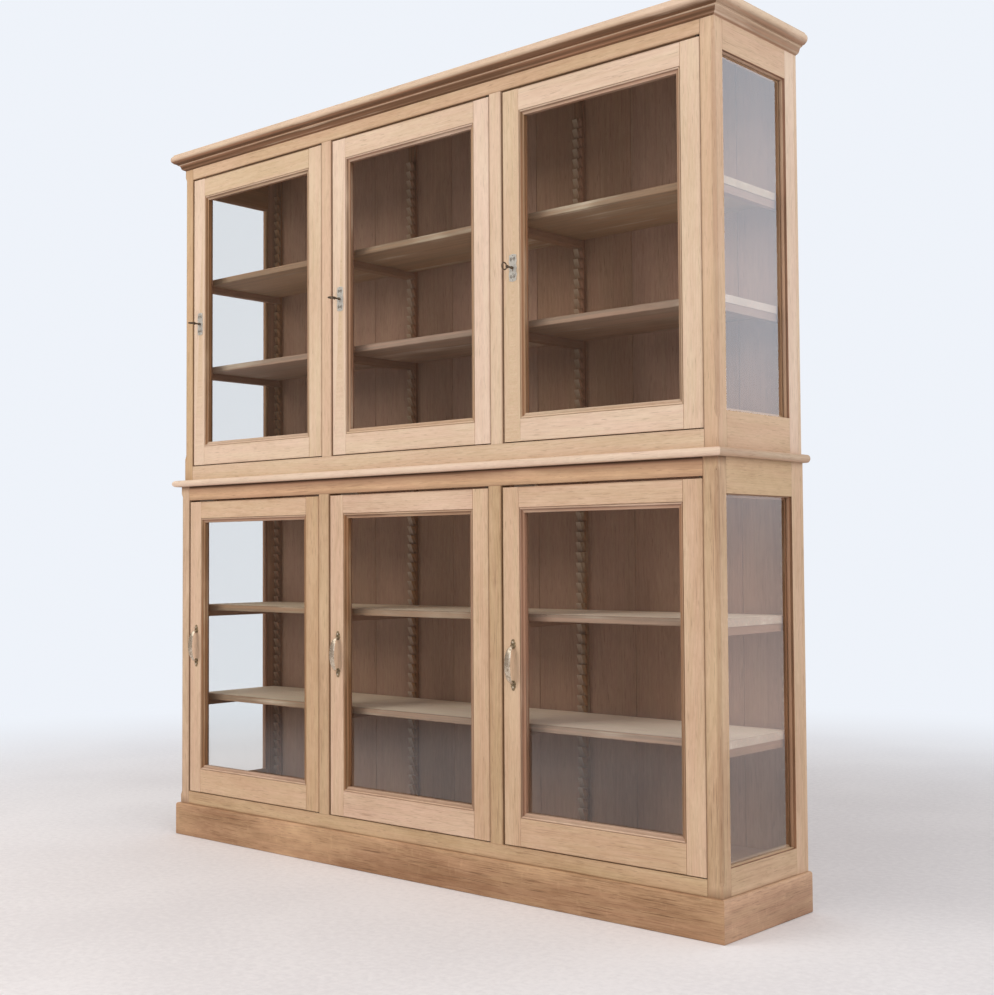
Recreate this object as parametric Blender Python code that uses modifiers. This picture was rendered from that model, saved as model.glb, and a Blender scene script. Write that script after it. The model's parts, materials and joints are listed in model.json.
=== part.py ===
"""Two-tier glazed oak display cabinet.

Metres, +Z up. The front faces -Y, and the origin is the bottom centre of the bounding box.
"""

import math
from dataclasses import dataclass

import bmesh
import bpy
from mathutils import Matrix, Vector

# Clearances
FIT = 0.0003                  # between pieces that touch
PIN_CLEARANCE = 0.0004        # round a pivot pin in its hole
RUN_CLEARANCE = 0.0005        # round a sliding or turning part of a lock
KEEP_CLEARANCE = 0.001        # round a bolt in its slot
GLASS_EDGE = 0.001            # round a pane in its frame
GLUED = 0.001                 # how far a glued piece is let into the next
TENON = 0.010                 # how far a rail reaches into a post
CUT_PAST = 0.002              # how far a cutter runs out of the wood
MERGE = 0.00002               # points nearer than this are one point

# Plan
BAY_NAMES = ("left", "middle", "right")
SIDE_NAMES = {-1: "left", 1: "right"}
BAY_WIDE = 0.630              # clear width of a door opening
CASE_DEEP = 0.394             # lower front to the back of the back boards
UPPER_SETBACK = 0.011         # upper front behind the lower front

# Carcass members
POST_DEEP = 0.037             # front posts and mullions, front to back
REAR_POST_DEEP = 0.044
REAR_POST_WIDE = 0.028        # a rear post is thinner than a front one, seen from the front
POST_CHAMFER = 0.0065         # width cut off each face at a front post's outer edge
CHAMFER_RUN_OUT = 0.012       # length of the chamfer's sloping end
BOARD_THICK = 0.020           # plinth boards and floor boards
BACK_THICK = 0.012
BACK_BOARDS = 12              # upright boards across the back of each tier
GROOVE_WIDE = 0.004           # groove at each joint of the back boards
GROOVE_DEEP = 0.0015
PLINTH_HIGH = 0.100
PLINTH_OUT = 0.011            # plinth in front of the posts
PLINTH_ROUND = 0.006          # rounding of its upper edge
BLOCK_SIDE = 0.045            # glue blocks in the plinth's corners
BLOCK_LIFT = 0.002
DECK_THICK = 0.017
WAIST_OUT = 0.023             # rounded moulding in front of the deck board
ROOF_THICK = 0.018
CORNICE_HIGH = 0.050

# Doors
DOOR_THICK = 0.026            # also the front and end rails
LATCH_GAP = 0.006
HINGE_GAP = 0.00175
HEAD_GAP = 0.006
FOOT_GAP = 0.003
STILE_WIDE = 0.056
MOULDING_WIDE = 0.0125        # in front of the glass
QUIRK_WIDE = 0.0006           # groove between the frame and the moulding's bead
QUIRK_DEEP = 0.0032
BEAD_RADIUS = 0.0026
FLAT_START = 0.0068           # flat beside the bead
FLAT_DEEP = 0.0058
GLASS_THICK = 0.003
GLASS_DEPTH = 0.018           # door glass behind the door's front
REAR_BEAD_WIDE = 0.008
STOP_LONG = 0.070
STOP_THICK = 0.014
STOP_LAP = 0.008              # stop behind the door's upper edge
STOP_ABOVE = 0.020            # stop above the opening
STOP_INSET = 0.024            # stop from the latch side of the opening

# End windows
PANE_INSET = 0.015            # end glass behind the end's outer face
END_BEAD_WIDE = 0.005
END_BEAD_SINK = 0.0075        # bead behind the end's outer face
END_BEAD_SLOPE = 0.004

# Pivots
PIN_RADIUS = 0.003
PIN_INTO_DOOR = 0.012
PIN_SIDE = 0.008              # pin axis from the door's hinge edge
PIN_BACK = 0.005              # pin axis behind the door's front
WASHER_RADIUS = 0.0045
WASHER_THICK = 0.0012         # upper washer; the lower one fills the gap under the door
PIN_ROOT = 0.003              # let into the rail
PIN_SIDES = 12

# Shelves
SHELF_THICK = 0.019
SHELF_END_GAP = 0.002
SHELF_RACK_GAP = 0.0012       # shelf edge from the tips of the teeth
BATTEN_HIGH = 0.020
RACK_PITCH = 0.0288
RACK_ROOT = 0.008             # rack thickness at the root of a tooth
RACK_TIP = 0.020              # and at its tip
MIDDLE_RACK_WIDE = 0.030      # rack that carries two shelf boards, narrower than the mullion
END_RACK_WIDE = 0.022         # beside a post
RACK_HOLD = 0.001             # let into the upright in front of it
RACK_INTO_POST = 0.004        # a rear end rack, let into its post
RACK_HEAD = 0.012             # plain rack above the last tooth

# Locks
LOCK_SIDE = 0.040             # keyhole from the latch side of the opening
LOCK_HIGH = 0.462             # keyhole above the foot of the opening
PLATE_WIDE = 0.028
PLATE_HIGH = 0.074
PLATE_THICK = 0.0012
KEYHOLE_DROP = 0.0098         # foot of the keyhole's slot below the key's axis
KEYHOLE_SLOT = 0.0032
CASE_INSET = 0.0015           # lock case from the door's latch edge
CASE_WIDE = 0.0525
CASE_THICK = 0.0085
CASE_BELOW = 0.020            # lock case below the key's axis
CASE_ABOVE = 0.030
CHAMBER_RADIUS = 0.0105
CHAMBER_DEEP = 0.0070
BOLT_LONG = 0.034
BOLT_HIGH = 0.010
BOLT_THICK = 0.004
BOLT_ABOVE = 0.018            # bolt's centre above the key's axis
BOLT_TRAVEL = 0.012
KEEP_DEEP = 0.008             # slot in a mullion or post that takes the bolt
SHANK_RADIUS = 0.00275
RING_RADIUS = 0.0110          # key ring, outside
RING_WIRE = 0.0018
RING_STAND = 0.035            # centre of the key ring in front of the door
COLLAR_RADIUS = 0.0044
COLLAR_LONG = 0.0036
COLLAR_FROM_RING = 0.0045
COLLAR_FROM_PLATE = 0.0045
BIT_REACH = 0.0095
BIT_LONG = 0.0045
BIT_THICK = 0.0022
KEY_TURNED = {"left": 90, "middle": 90, "right": 0}   # degrees from the slot

# Handles
HANDLE_SIDE = 0.040           # from the latch side of the opening
HANDLE_HIGH = 0.469           # centre above the foot of the opening
HANDLE_LONG = 0.134
HANDLE_STAND = 0.028          # outer face of the bow from the door
BOW_WIDE = 0.018
BOW_THICK = 0.006
BOW_INSET = 0.019             # end of the bow from the end of the handle
FOOT_WIDE = 0.019
FOOT_LONG = 0.026
FOOT_THICK = 0.0028
SCREW_RADIUS = 0.0015
SCREW_HEAD_RADIUS = 0.0031
SCREW_HEAD_HIGH = 0.0016
SCREW_LONG = 0.014
SCREW_FROM_END = 0.0085       # screw's axis from the end of the handle


@dataclass(frozen=True)
class Tier:
    """One carcass: its widths, and its heights from the bottom up."""

    name: str
    front: float
    bottom: float
    post: float
    mullion: float
    bottom_rail: float
    opening: float
    top_rail: float
    end_bottom_rail: float
    end_top_rail: float
    door_bottom_rail: float
    door_top_rail: float
    chamfer_from_foot: float
    chamfer_from_head: float
    first_tooth: float
    shelf_teeth: tuple
    has_floor: bool

    @property
    def half(self):
        """Half the width over the posts."""
        bays = len(BAY_NAMES)
        return (bays * BAY_WIDE + (bays - 1) * self.mullion) / 2 + self.post

    @property
    def floor(self):
        """Surface that the racks stand on: the floor board, or the deck board in the upper tier."""
        return self.foot if self.has_floor else self.bottom

    @property
    def foot(self):
        """Lower edge of the door openings."""
        return self.bottom + self.bottom_rail

    @property
    def head(self):
        """Upper edge of the door openings."""
        return self.foot + self.opening

    @property
    def top(self):
        return self.head + self.top_rail

    def bay(self, index):
        """Left and right edges of a door opening."""
        left = -self.half + self.post + index * (BAY_WIDE + self.mullion)
        return left, left + BAY_WIDE

    def mullion_centres(self):
        return [self.bay(index)[1] + self.mullion / 2 for index in range(len(BAY_NAMES) - 1)]


FRONT_REACH = max(
    RING_STAND + RING_RADIUS - UPPER_SETBACK,
    HANDLE_STAND,
    WAIST_OUT,
    PLINTH_OUT,
)
BASE_FRONT = -(CASE_DEEP - FRONT_REACH) / 2
BACK = BASE_FRONT + CASE_DEEP
INNER_BACK = BACK - BACK_THICK

BASE = Tier(
    name="base", front=BASE_FRONT, bottom=PLINTH_HIGH, post=0.041, mullion=0.044,
    bottom_rail=0.040, opening=0.9375, top_rail=0.0485, end_bottom_rail=0.065, end_top_rail=0.090,
    door_bottom_rail=0.072, door_top_rail=0.053, chamfer_from_foot=0.025, chamfer_from_head=0.025,
    first_tooth=0.0412, shelf_teeth=(8, 18), has_floor=True,
)
UPPER = Tier(
    name="upper", front=BASE_FRONT + UPPER_SETBACK, bottom=BASE.top + DECK_THICK, post=0.040,
    mullion=0.042, bottom_rail=0.046, opening=0.9426, top_rail=0.0704, end_bottom_rail=0.090,
    end_top_rail=0.108, door_bottom_rail=0.059, door_top_rail=0.058, chamfer_from_foot=0.070,
    chamfer_from_head=0.057, first_tooth=0.0471, shelf_teeth=(10, 20), has_floor=False,
)
TIERS = (BASE, UPPER)

# Turns a flat drawing (x right, y up, z out) to face the room
TO_FRONT = Matrix.Rotation(math.radians(90), 4, "X")

MATERIALS = {
    "pale_oak": ((0.62, 0.45, 0.30, 1.0), 0.62, 0.0),
    "warm_oak": ((0.50, 0.34, 0.20, 1.0), 0.62, 0.0),
    "plinth_oak": ((0.42, 0.26, 0.14, 1.0), 0.60, 0.0),
    "red_oak": ((0.28, 0.14, 0.08, 1.0), 0.55, 0.0),
    "shelf_wood": ((0.50, 0.40, 0.29, 1.0), 0.70, 0.0),
    "back_wood": ((0.20, 0.12, 0.08, 1.0), 0.75, 0.0),
    "glass": ((0.80, 0.86, 0.88, 0.25), 0.05, 0.0),
    "brass": ((0.42, 0.33, 0.20, 1.0), 0.35, 1.0),
    "nickel": ((0.45, 0.43, 0.40, 1.0), 0.40, 1.0),
    "iron": ((0.10, 0.07, 0.05, 1.0), 0.50, 1.0),
    "steel": ((0.40, 0.40, 0.42, 1.0), 0.35, 1.0),
}


def clear_scene():
    for obj in list(bpy.data.objects):
        bpy.data.objects.remove(obj, do_unlink=True)


def new_collection(name):
    collection = bpy.data.collections.new(name)
    bpy.context.scene.collection.children.link(collection)
    return collection


def make_materials():
    made = {}
    for name, (colour, roughness, metallic) in MATERIALS.items():
        material = bpy.data.materials.new(name)
        material.use_nodes = True
        shader = material.node_tree.nodes["Principled BSDF"]
        shader.inputs["Base Color"].default_value = colour
        shader.inputs["Roughness"].default_value = roughness
        shader.inputs["Metallic"].default_value = metallic
        shader.inputs["Alpha"].default_value = colour[3]
        material.diffuse_color = colour
        made[name] = material
    return made


clear_scene()
PARTS = new_collection("display_cabinet")
CUTTERS = new_collection("cutters")
MADE_MATERIALS = make_materials()


# Building blocks

def add_box(mesh, low, high):
    """Add a box between two corners."""
    low, high = Vector(low), Vector(high)
    place = Matrix.Translation((low + high) / 2) @ Matrix.Diagonal((*(high - low), 1.0))
    bmesh.ops.create_cube(mesh, size=1.0, matrix=place)


def add_round(mesh, start, radius, depth, sides, direction):
    """Add a cylinder that runs from a point along a direction."""
    direction = Vector(direction)
    turn = Vector((0, 0, 1)).rotation_difference(direction).to_matrix().to_4x4()
    place = Matrix.Translation(Vector(start) + direction * depth / 2) @ turn
    bmesh.ops.create_cone(
        mesh, cap_ends=True, segments=sides, radius1=radius, radius2=radius, depth=depth, matrix=place,
    )


def add_mesh(mesh, piece, matrix):
    """Add a copy of a ready mesh."""
    before = len(mesh.verts)
    mesh.from_mesh(piece)
    mesh.verts.ensure_lookup_table()
    bmesh.ops.transform(mesh, matrix=matrix, verts=mesh.verts[before:])


def sweep(mesh, profile, stations, up, closed=False):
    """Run a profile of (out, up) points through stations of (origin, out direction).

    At a mitre the out direction is the sum of those on both sides of it.
    """
    up = Vector(up)
    stations = [(Vector(origin), Vector(out)) for origin, out in stations]
    origin, out = stations[0]
    first = face = mesh.faces.new([mesh.verts.new(origin + out * d + up * h) for d, h in profile])
    ring = list(face.verts)
    following = stations[1:] + (stations[:1] if closed else [])
    for next_origin, next_out in following:
        made = bmesh.ops.extrude_face_region(mesh, geom=[face, *face.edges])["geom"]
        verts = [item for item in made if isinstance(item, bmesh.types.BMVert)]
        face = next(item for item in made if isinstance(item, bmesh.types.BMFace))
        for vert in verts:
            h = (vert.co - origin).dot(up)
            d = (vert.co - origin - up * h).dot(out) / out.length_squared
            vert.co = next_origin + next_out * d + up * h
        origin, out = next_origin, next_out
    if closed:
        ring.extend(face.verts)
        bmesh.ops.delete(mesh, geom=[first, face], context="FACES_ONLY")
        bmesh.ops.remove_doubles(mesh, verts=ring, dist=MERGE)


def add_ring(mesh, profile, low, high, right, up, back):
    """Sweep a mitred frame inside a rectangle; out values of the profile run towards its middle."""
    low, high, right, up = Vector(low), Vector(high), Vector(right), Vector(up)
    wide = right * (high - low).dot(right)
    tall = up * (high - low).dot(up)
    stations = (
        (low, right + up), (low + wide, up - right),
        (low + wide + tall, -right - up), (low + tall, right - up),
    )
    sweep(mesh, profile, stations, back, closed=True)


def add_surround(mesh, profile, half, front, bottom):
    """Sweep a moulding along the front and both ends, mitred at the front corners."""
    stations = (
        ((-half, BACK, bottom), (-1, 0, 0)), ((-half, front, bottom), (-1, -1, 0)),
        ((half, front, bottom), (1, -1, 0)), ((half, BACK, bottom), (1, 0, 0)),
    )
    sweep(mesh, profile, stations, (0, 0, 1))


def to_object(name, mesh, material=None):
    """Turn a bmesh into a named part, or into a guide when it has no material."""
    bmesh.ops.recalc_face_normals(mesh, faces=mesh.faces)
    data = bpy.data.meshes.new(name)
    mesh.to_mesh(data)
    mesh.free()
    return link(name, data, material)


def link(name, data, material=None):
    obj = bpy.data.objects.new(name, data)
    if material:
        PARTS.objects.link(obj)
        data.materials.append(MADE_MATERIALS[material])
    else:
        CUTTERS.objects.link(obj)
        obj.hide_render = True
        obj.display_type = "WIRE"
    return obj


def solid_of(obj):
    """Closed mesh of a guide as its modifiers and curve settings leave it; the guide is removed."""
    bpy.context.view_layer.update()
    graph = bpy.context.evaluated_depsgraph_get()
    data = bpy.data.meshes.new_from_object(obj.evaluated_get(graph))
    data.transform(obj.matrix_world)
    bpy.data.objects.remove(obj, do_unlink=True)
    mesh = bmesh.new()
    mesh.from_mesh(data)
    bmesh.ops.remove_doubles(mesh, verts=mesh.verts, dist=MERGE)
    bmesh.ops.recalc_face_normals(mesh, faces=mesh.faces)
    mesh.to_mesh(data)
    mesh.free()
    return data


def turned(name, profile, sides):
    """Mesh of a profile of (radius, height) points, top to bottom, turned about Z."""
    data = bpy.data.meshes.new(name)
    edges = [(index, index + 1) for index in range(len(profile) - 1)]
    data.from_pydata([(radius, 0.0, height) for radius, height in profile], edges, [])
    obj = link(name, data)
    screw = obj.modifiers.new("turn", "SCREW")
    screw.axis = "Z"
    screw.steps = sides
    screw.render_steps = sides
    screw.use_merge_vertices = True
    screw.merge_threshold = MERGE
    return solid_of(obj)


def flat_curve(name, outlines, thickness, material=None):
    """Flat 2D curve with thickness; outlines after the first are holes."""
    curve = bpy.data.curves.new(name, "CURVE")
    curve.dimensions = "2D"
    curve.fill_mode = "BOTH"
    curve.extrude = thickness / 2
    for points in outlines:
        spline = curve.splines.new("POLY")
        spline.points.add(len(points) - 1)
        for item, (x, y) in zip(spline.points, points):
            item.co = (x, y, 0.0, 1.0)
        spline.use_cyclic_u = True
    return link(name, curve, material)


def combine(obj, other, operation):
    """Cut an object with a guide, or join the guide to it."""
    step = obj.modifiers.new(other.name, "BOOLEAN")
    step.operation = operation
    step.solver = "EXACT"
    step.object = other


def smooth(obj):
    obj.data.shade_smooth()
    obj.data.set_sharp_from_angle(angle=math.radians(40))


def carry(obj, parent):
    """Parent an object to the empty on its joint's axis, without moving it."""
    obj.parent = parent
    obj.matrix_parent_inverse = parent.matrix_world.inverted()


def axis_empty(name, place, parent=None):
    empty = bpy.data.objects.new(name, None)
    PARTS.objects.link(empty)
    empty.location = place
    empty.empty_display_size = 0.05
    if parent:
        carry(empty, parent)
    bpy.context.view_layer.update()
    return empty


def arc(centre, radius, start, end, steps):
    """Points on an arc, with angles in degrees."""
    angles = [math.radians(start + (end - start) * step / steps) for step in range(steps + 1)]
    return [(centre[0] + radius * math.cos(a), centre[1] + radius * math.sin(a)) for a in angles]


# Plinth, deck board, roof board and cornice

def make_plinth():
    """Boards on four sides with a glue block in each corner, glued up as one frame."""
    inside = PLINTH_OUT - BOARD_THICK
    rounding = arc((PLINTH_OUT - PLINTH_ROUND, PLINTH_HIGH - PLINTH_ROUND), PLINTH_ROUND, 0, 90, 3)
    mesh = bmesh.new()
    profile = [(inside, 0.0), (PLINTH_OUT, 0.0), *rounding, (inside, PLINTH_HIGH)]
    add_surround(mesh, profile, BASE.half, BASE.front, 0.0)
    plinth = to_object("plinth", mesh, "plinth_oak")

    mesh = bmesh.new()
    reach = BASE.half + inside + GLUED
    add_box(mesh, (-reach, BACK - BOARD_THICK, 0.0), (reach, BACK, PLINTH_HIGH - FIT))
    combine(plinth, to_object("plinth_back", mesh), "UNION")

    mesh = bmesh.new()
    near = BASE.front - inside - GLUED
    far = BACK - BOARD_THICK + GLUED
    for side in (-1, 1):
        inner, outer = sorted((side * (reach - BLOCK_SIDE), side * reach))
        for front, rear in ((near, near + BLOCK_SIDE), (far - BLOCK_SIDE, far)):
            add_box(mesh, (inner, front, BLOCK_LIFT), (outer, rear, PLINTH_HIGH - 2 * FIT))
    combine(plinth, to_object("plinth_blocks", mesh), "UNION")
    return plinth


def make_deck():
    """Board between the tiers with a rounded moulding glued along three edges."""
    mesh = bmesh.new()
    add_box(mesh, (-BASE.half, BASE.front, BASE.top), (BASE.half, BACK, UPPER.bottom))
    deck = to_object("deck_board", mesh, "pale_oak")
    radius = DECK_THICK / 2
    nose = arc((WAIST_OUT - radius, radius), radius, -90, 90, 6)
    mesh = bmesh.new()
    add_surround(mesh, [(-GLUED, 0.0), *nose, (-GLUED, DECK_THICK)], BASE.half, BASE.front, BASE.top)
    combine(deck, to_object("waist_moulding", mesh), "UNION")
    return deck


def cornice_profile():
    """Ogee, fillet and rounded nose, as (out, up) from the foot of the cornice."""
    hollow = arc((0.0, 0.0125), 0.0105, -85, -10, 4)
    swell = arc((0.0200, 0.0130), 0.0085, 170, 95, 4)
    nose = arc((0.0252, 0.0370), 0.0100, -50, 70, 6)
    return [
        (0.0, 0.0), *hollow, *swell, (0.0193, 0.0240), (0.0262, 0.0262), *nose,
        (0.0275, CORNICE_HIGH), (0.0, CORNICE_HIGH),
    ]


def make_roof():
    mesh = bmesh.new()
    top = UPPER.top + ROOF_THICK
    add_box(mesh, (-UPPER.half, UPPER.front, UPPER.top), (UPPER.half, BACK, top))
    to_object("roof_board", mesh, "pale_oak")
    mesh = bmesh.new()
    add_surround(mesh, cornice_profile(), UPPER.half + FIT, UPPER.front - FIT, top - CORNICE_HIGH)
    return to_object("cornice", mesh, "pale_oak")


def make_floor():
    """Floor board of the lower tier, notched round its four posts."""
    wide = BASE.half - DOOR_THICK - FIT
    narrow = BASE.half - BASE.post - RACK_HOLD - FIT
    narrow_rear = BASE.half - REAR_POST_WIDE - RACK_HOLD - FIT
    near = BASE.front + DOOR_THICK + FIT
    near_notch = BASE.front + POST_DEEP + FIT
    far = INNER_BACK - FIT
    far_notch = far - REAR_POST_DEEP - FIT
    half_plan = [
        (narrow, near), (narrow, near_notch), (wide, near_notch),
        (wide, far_notch), (narrow_rear, far_notch), (narrow_rear, far),
    ]
    plan = half_plan + [(-x, y) for x, y in reversed(half_plan)]
    mesh = bmesh.new()
    low, high = BASE.foot - BOARD_THICK, BASE.foot
    sweep(mesh, plan, (((0, 0, low), (1, 0, 0)), ((0, 0, high), (1, 0, 0))), (0, 1, 0))
    return to_object("base_floor", mesh, "shelf_wood")


def make_back(tier):
    """Upright boards nailed over the rear posts, with a groove at each joint, and two racks on them."""
    pitch = 2 * tier.half / BACK_BOARDS
    plan = [(-tier.half, BACK), (-tier.half, INNER_BACK)]
    for index in range(1, BACK_BOARDS):
        joint = -tier.half + index * pitch
        plan.extend((
            (joint - GROOVE_WIDE / 2, INNER_BACK), (joint, INNER_BACK + GROOVE_DEEP),
            (joint + GROOVE_WIDE / 2, INNER_BACK),
        ))
    plan.extend(((tier.half, INNER_BACK), (tier.half, BACK)))
    mesh = bmesh.new()
    low, high = tier.bottom + FIT, tier.top - FIT
    sweep(mesh, plan, (((0, 0, low), (1, 0, 0)), ((0, 0, high), (1, 0, 0))), (0, 1, 0))
    back = to_object(f"{tier.name}_back", mesh, "back_wood")
    mesh = bmesh.new()
    for centre in tier.mullion_centres():
        wide = MIDDLE_RACK_WIDE
        add_rack(mesh, tier, centre - wide / 2, centre + wide / 2, INNER_BACK, -1, GROOVE_DEEP + GLUED)
    combine(back, to_object(f"{tier.name}_rear_racks", mesh), "UNION")
    return back


# Racks and shelves

def rack_profile(tier, hold):
    """Saw teeth with a level top to each tooth, as (out, up) from the foot of the rack."""
    height = tier.top - tier.floor - 2 * FIT
    teeth = int((height - tier.first_tooth - RACK_HEAD) / RACK_PITCH)
    points = [(-hold, 0.0), (RACK_ROOT, 0.0), (RACK_ROOT, tier.first_tooth - RACK_PITCH)]
    for tooth in range(teeth):
        ledge = tier.first_tooth + tooth * RACK_PITCH
        points.extend(((RACK_TIP, ledge), (RACK_ROOT, ledge)))
    points.extend(((RACK_ROOT, height), (-hold, height)))
    return points


def add_rack(mesh, tier, left, right, face, out, hold):
    """Add a rack with its teeth measured from the plane y = face; hold is how far it is let in."""
    bottom = tier.floor + FIT
    stations = (((left, face, bottom), (0, out, 0)), ((right, face, bottom), (0, out, 0)))
    sweep(mesh, rack_profile(tier, hold), stations, (0, 0, 1))


def ledge_height(tier, tooth):
    return tier.floor + FIT + tier.first_tooth + tooth * RACK_PITCH


def batten_places(tier):
    """Left and right edge of each batten along a shelf."""
    end = tier.half - REAR_POST_WIDE
    middles = [(x - MIDDLE_RACK_WIDE / 2, x + MIDDLE_RACK_WIDE / 2) for x in tier.mullion_centres()]
    return [(-end + FIT, -end + END_RACK_WIDE), *middles, (end - END_RACK_WIDE, end - FIT)]


def make_shelf(tier, tooth, name):
    """Shelf board on four battens, whose ends are cut to the slope of the teeth."""
    end = tier.half - REAR_POST_WIDE - SHELF_END_GAP
    front, rear = tier.front + POST_DEEP, INNER_BACK
    near = front + RACK_TIP + SHELF_RACK_GAP
    far = rear - RACK_TIP - SHELF_RACK_GAP
    low = ledge_height(tier, tooth) + FIT + BATTEN_HIGH
    mesh = bmesh.new()
    add_box(mesh, (-end, near, low), (end, far, low + SHELF_THICK))
    shelf = to_object(f"{tier.name}_{name}_shelf", mesh, "shelf_wood")

    slope = (RACK_TIP - RACK_ROOT) * BATTEN_HIGH / RACK_PITCH
    foot_near, foot_far = front + RACK_ROOT + FIT, rear - RACK_ROOT - FIT
    profile = [
        (foot_near, 0.0), (foot_far, 0.0), (foot_far - slope, BATTEN_HIGH), (far - GLUED, BATTEN_HIGH),
        (far - GLUED, BATTEN_HIGH + GLUED), (near + GLUED, BATTEN_HIGH + GLUED),
        (near + GLUED, BATTEN_HIGH), (foot_near + slope, BATTEN_HIGH),
    ]
    mesh = bmesh.new()
    for left, right in batten_places(tier):
        bottom = low - BATTEN_HIGH
        sweep(mesh, profile, (((left, 0, bottom), (0, 1, 0)), ((right, 0, bottom), (0, 1, 0))), (0, 0, 1))
    combine(shelf, to_object(f"{shelf.name}_battens", mesh), "UNION")
    return shelf


# Ends, mullions and rails

def stopped_chamfer(tier, side):
    """Cutter for the outer edge of a front post, with a sloping end above and below."""
    bottom = tier.bottom + tier.chamfer_from_foot
    top = tier.top - tier.chamfer_from_head
    depth = POST_CHAMFER / math.sqrt(2)
    outline = (
        (0.0, bottom), (depth, bottom + CHAMFER_RUN_OUT), (depth, top - CHAMFER_RUN_OUT), (0.0, top),
        (-CUT_PAST, top), (-CUT_PAST, bottom),
    )
    corner = Vector((side * tier.half, tier.front, 0.0))
    into = Vector((-side, 1.0, 0.0)).normalized()
    across = Vector((side, 1.0, 0.0)).normalized() * POST_CHAMFER
    mesh = bmesh.new()
    sweep(mesh, outline, ((corner - across, into), (corner + across, into)), (0, 0, 1))
    return to_object(f"{tier.name}_chamfer_{SIDE_NAMES[side]}", mesh)


def make_end(tier, side, wood):
    """End frame: a front and a rear post with two rails, the beads round its glass and two racks."""
    name = f"{tier.name}_{SIDE_NAMES[side]}_end"
    inner, outer = sorted((side * (tier.half - tier.post), side * tier.half))
    low, high = tier.bottom + FIT, tier.top - FIT
    front, rear = tier.front, INNER_BACK - FIT
    front_inside, rear_inside = front + POST_DEEP, rear - REAR_POST_DEEP
    mesh = bmesh.new()
    add_box(mesh, (inner, front, low), (outer, front_inside, high))
    inner, outer = sorted((side * (tier.half - REAR_POST_WIDE), side * tier.half))
    add_box(mesh, (inner, rear_inside, low), (outer, rear, high))
    end = to_object(f"{name}_frame", mesh, wood)

    inner, outer = sorted((side * (tier.half - DOOR_THICK), side * tier.half))
    opening_low = tier.bottom + tier.end_bottom_rail
    opening_high = tier.top - tier.end_top_rail
    mesh = bmesh.new()
    for rail_low, rail_high in ((low, opening_low), (opening_high, high)):
        add_box(mesh, (inner, front_inside - TENON, rail_low), (outer, rear_inside + TENON, rail_high))
    combine(end, to_object(f"{name}_rails", mesh), "UNION")

    glass_front, glass_rear = PANE_INSET, PANE_INSET + GLASS_THICK
    outside = [
        (-GLUED, END_BEAD_SINK), (0.0, END_BEAD_SINK), (END_BEAD_WIDE, END_BEAD_SINK + END_BEAD_SLOPE),
        (END_BEAD_WIDE, glass_front - FIT), (-GLUED, glass_front - FIT),
    ]
    inside = [
        (-GLUED, glass_rear + FIT), (REAR_BEAD_WIDE, glass_rear + FIT),
        (REAR_BEAD_WIDE, DOOR_THICK), (-GLUED, DOOR_THICK),
    ]
    mesh = bmesh.new()
    for profile in (outside, inside):
        add_ring(
            mesh, profile, (side * tier.half, front_inside, opening_low),
            (side * tier.half, rear_inside, opening_high), (0, 1, 0), (0, 0, 1), (-side, 0, 0),
        )
    combine(end, to_object(f"{name}_beads", mesh), "UNION")

    edge = tier.half - REAR_POST_WIDE
    mesh = bmesh.new()
    left, right = sorted((side * (edge - END_RACK_WIDE), side * edge))
    add_rack(mesh, tier, left, right, front_inside, 1, RACK_HOLD)
    left, right = sorted((side * (edge - END_RACK_WIDE), side * (edge + RACK_INTO_POST)))
    add_rack(mesh, tier, left, right, INNER_BACK, -1, -FIT)
    combine(end, to_object(f"{name}_racks", mesh), "UNION")
    combine(end, stopped_chamfer(tier, side), "DIFFERENCE")

    mesh = bmesh.new()
    edge = GLASS_EDGE
    inner, outer = sorted((side * (tier.half - glass_rear), side * (tier.half - glass_front)))
    add_box(
        mesh, (inner, front_inside + edge, opening_low + edge),
        (outer, rear_inside - edge, opening_high - edge),
    )
    to_object(f"{name}_glass", mesh, "glass")
    return end


def make_mullion(tier, index, wood):
    """Mullion between two doors, with the rack that stands behind it."""
    centre = tier.mullion_centres()[index]
    mesh = bmesh.new()
    add_box(
        mesh, (centre - tier.mullion / 2, tier.front, tier.foot + FIT),
        (centre + tier.mullion / 2, tier.front + POST_DEEP, tier.head - FIT),
    )
    name = f"{tier.name}_mullion_{index + 1}"
    mullion = to_object(name, mesh, wood)
    mesh = bmesh.new()
    half = MIDDLE_RACK_WIDE / 2
    add_rack(mesh, tier, centre - half, centre + half, tier.front + POST_DEEP, 1, RACK_HOLD)
    combine(mullion, to_object(f"{name}_rack", mesh), "UNION")
    return mullion


def pivot(gap, washer):
    """Pin and washer standing on a rail at height zero, with its root let into the rail."""
    top = gap + PIN_INTO_DOOR
    profile = [
        (0.0, top), (PIN_RADIUS, top), (PIN_RADIUS, washer), (WASHER_RADIUS, washer),
        (WASHER_RADIUS, -PIN_ROOT), (0.0, -PIN_ROOT),
    ]
    return turned("pivot", profile, PIN_SIDES)


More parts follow.
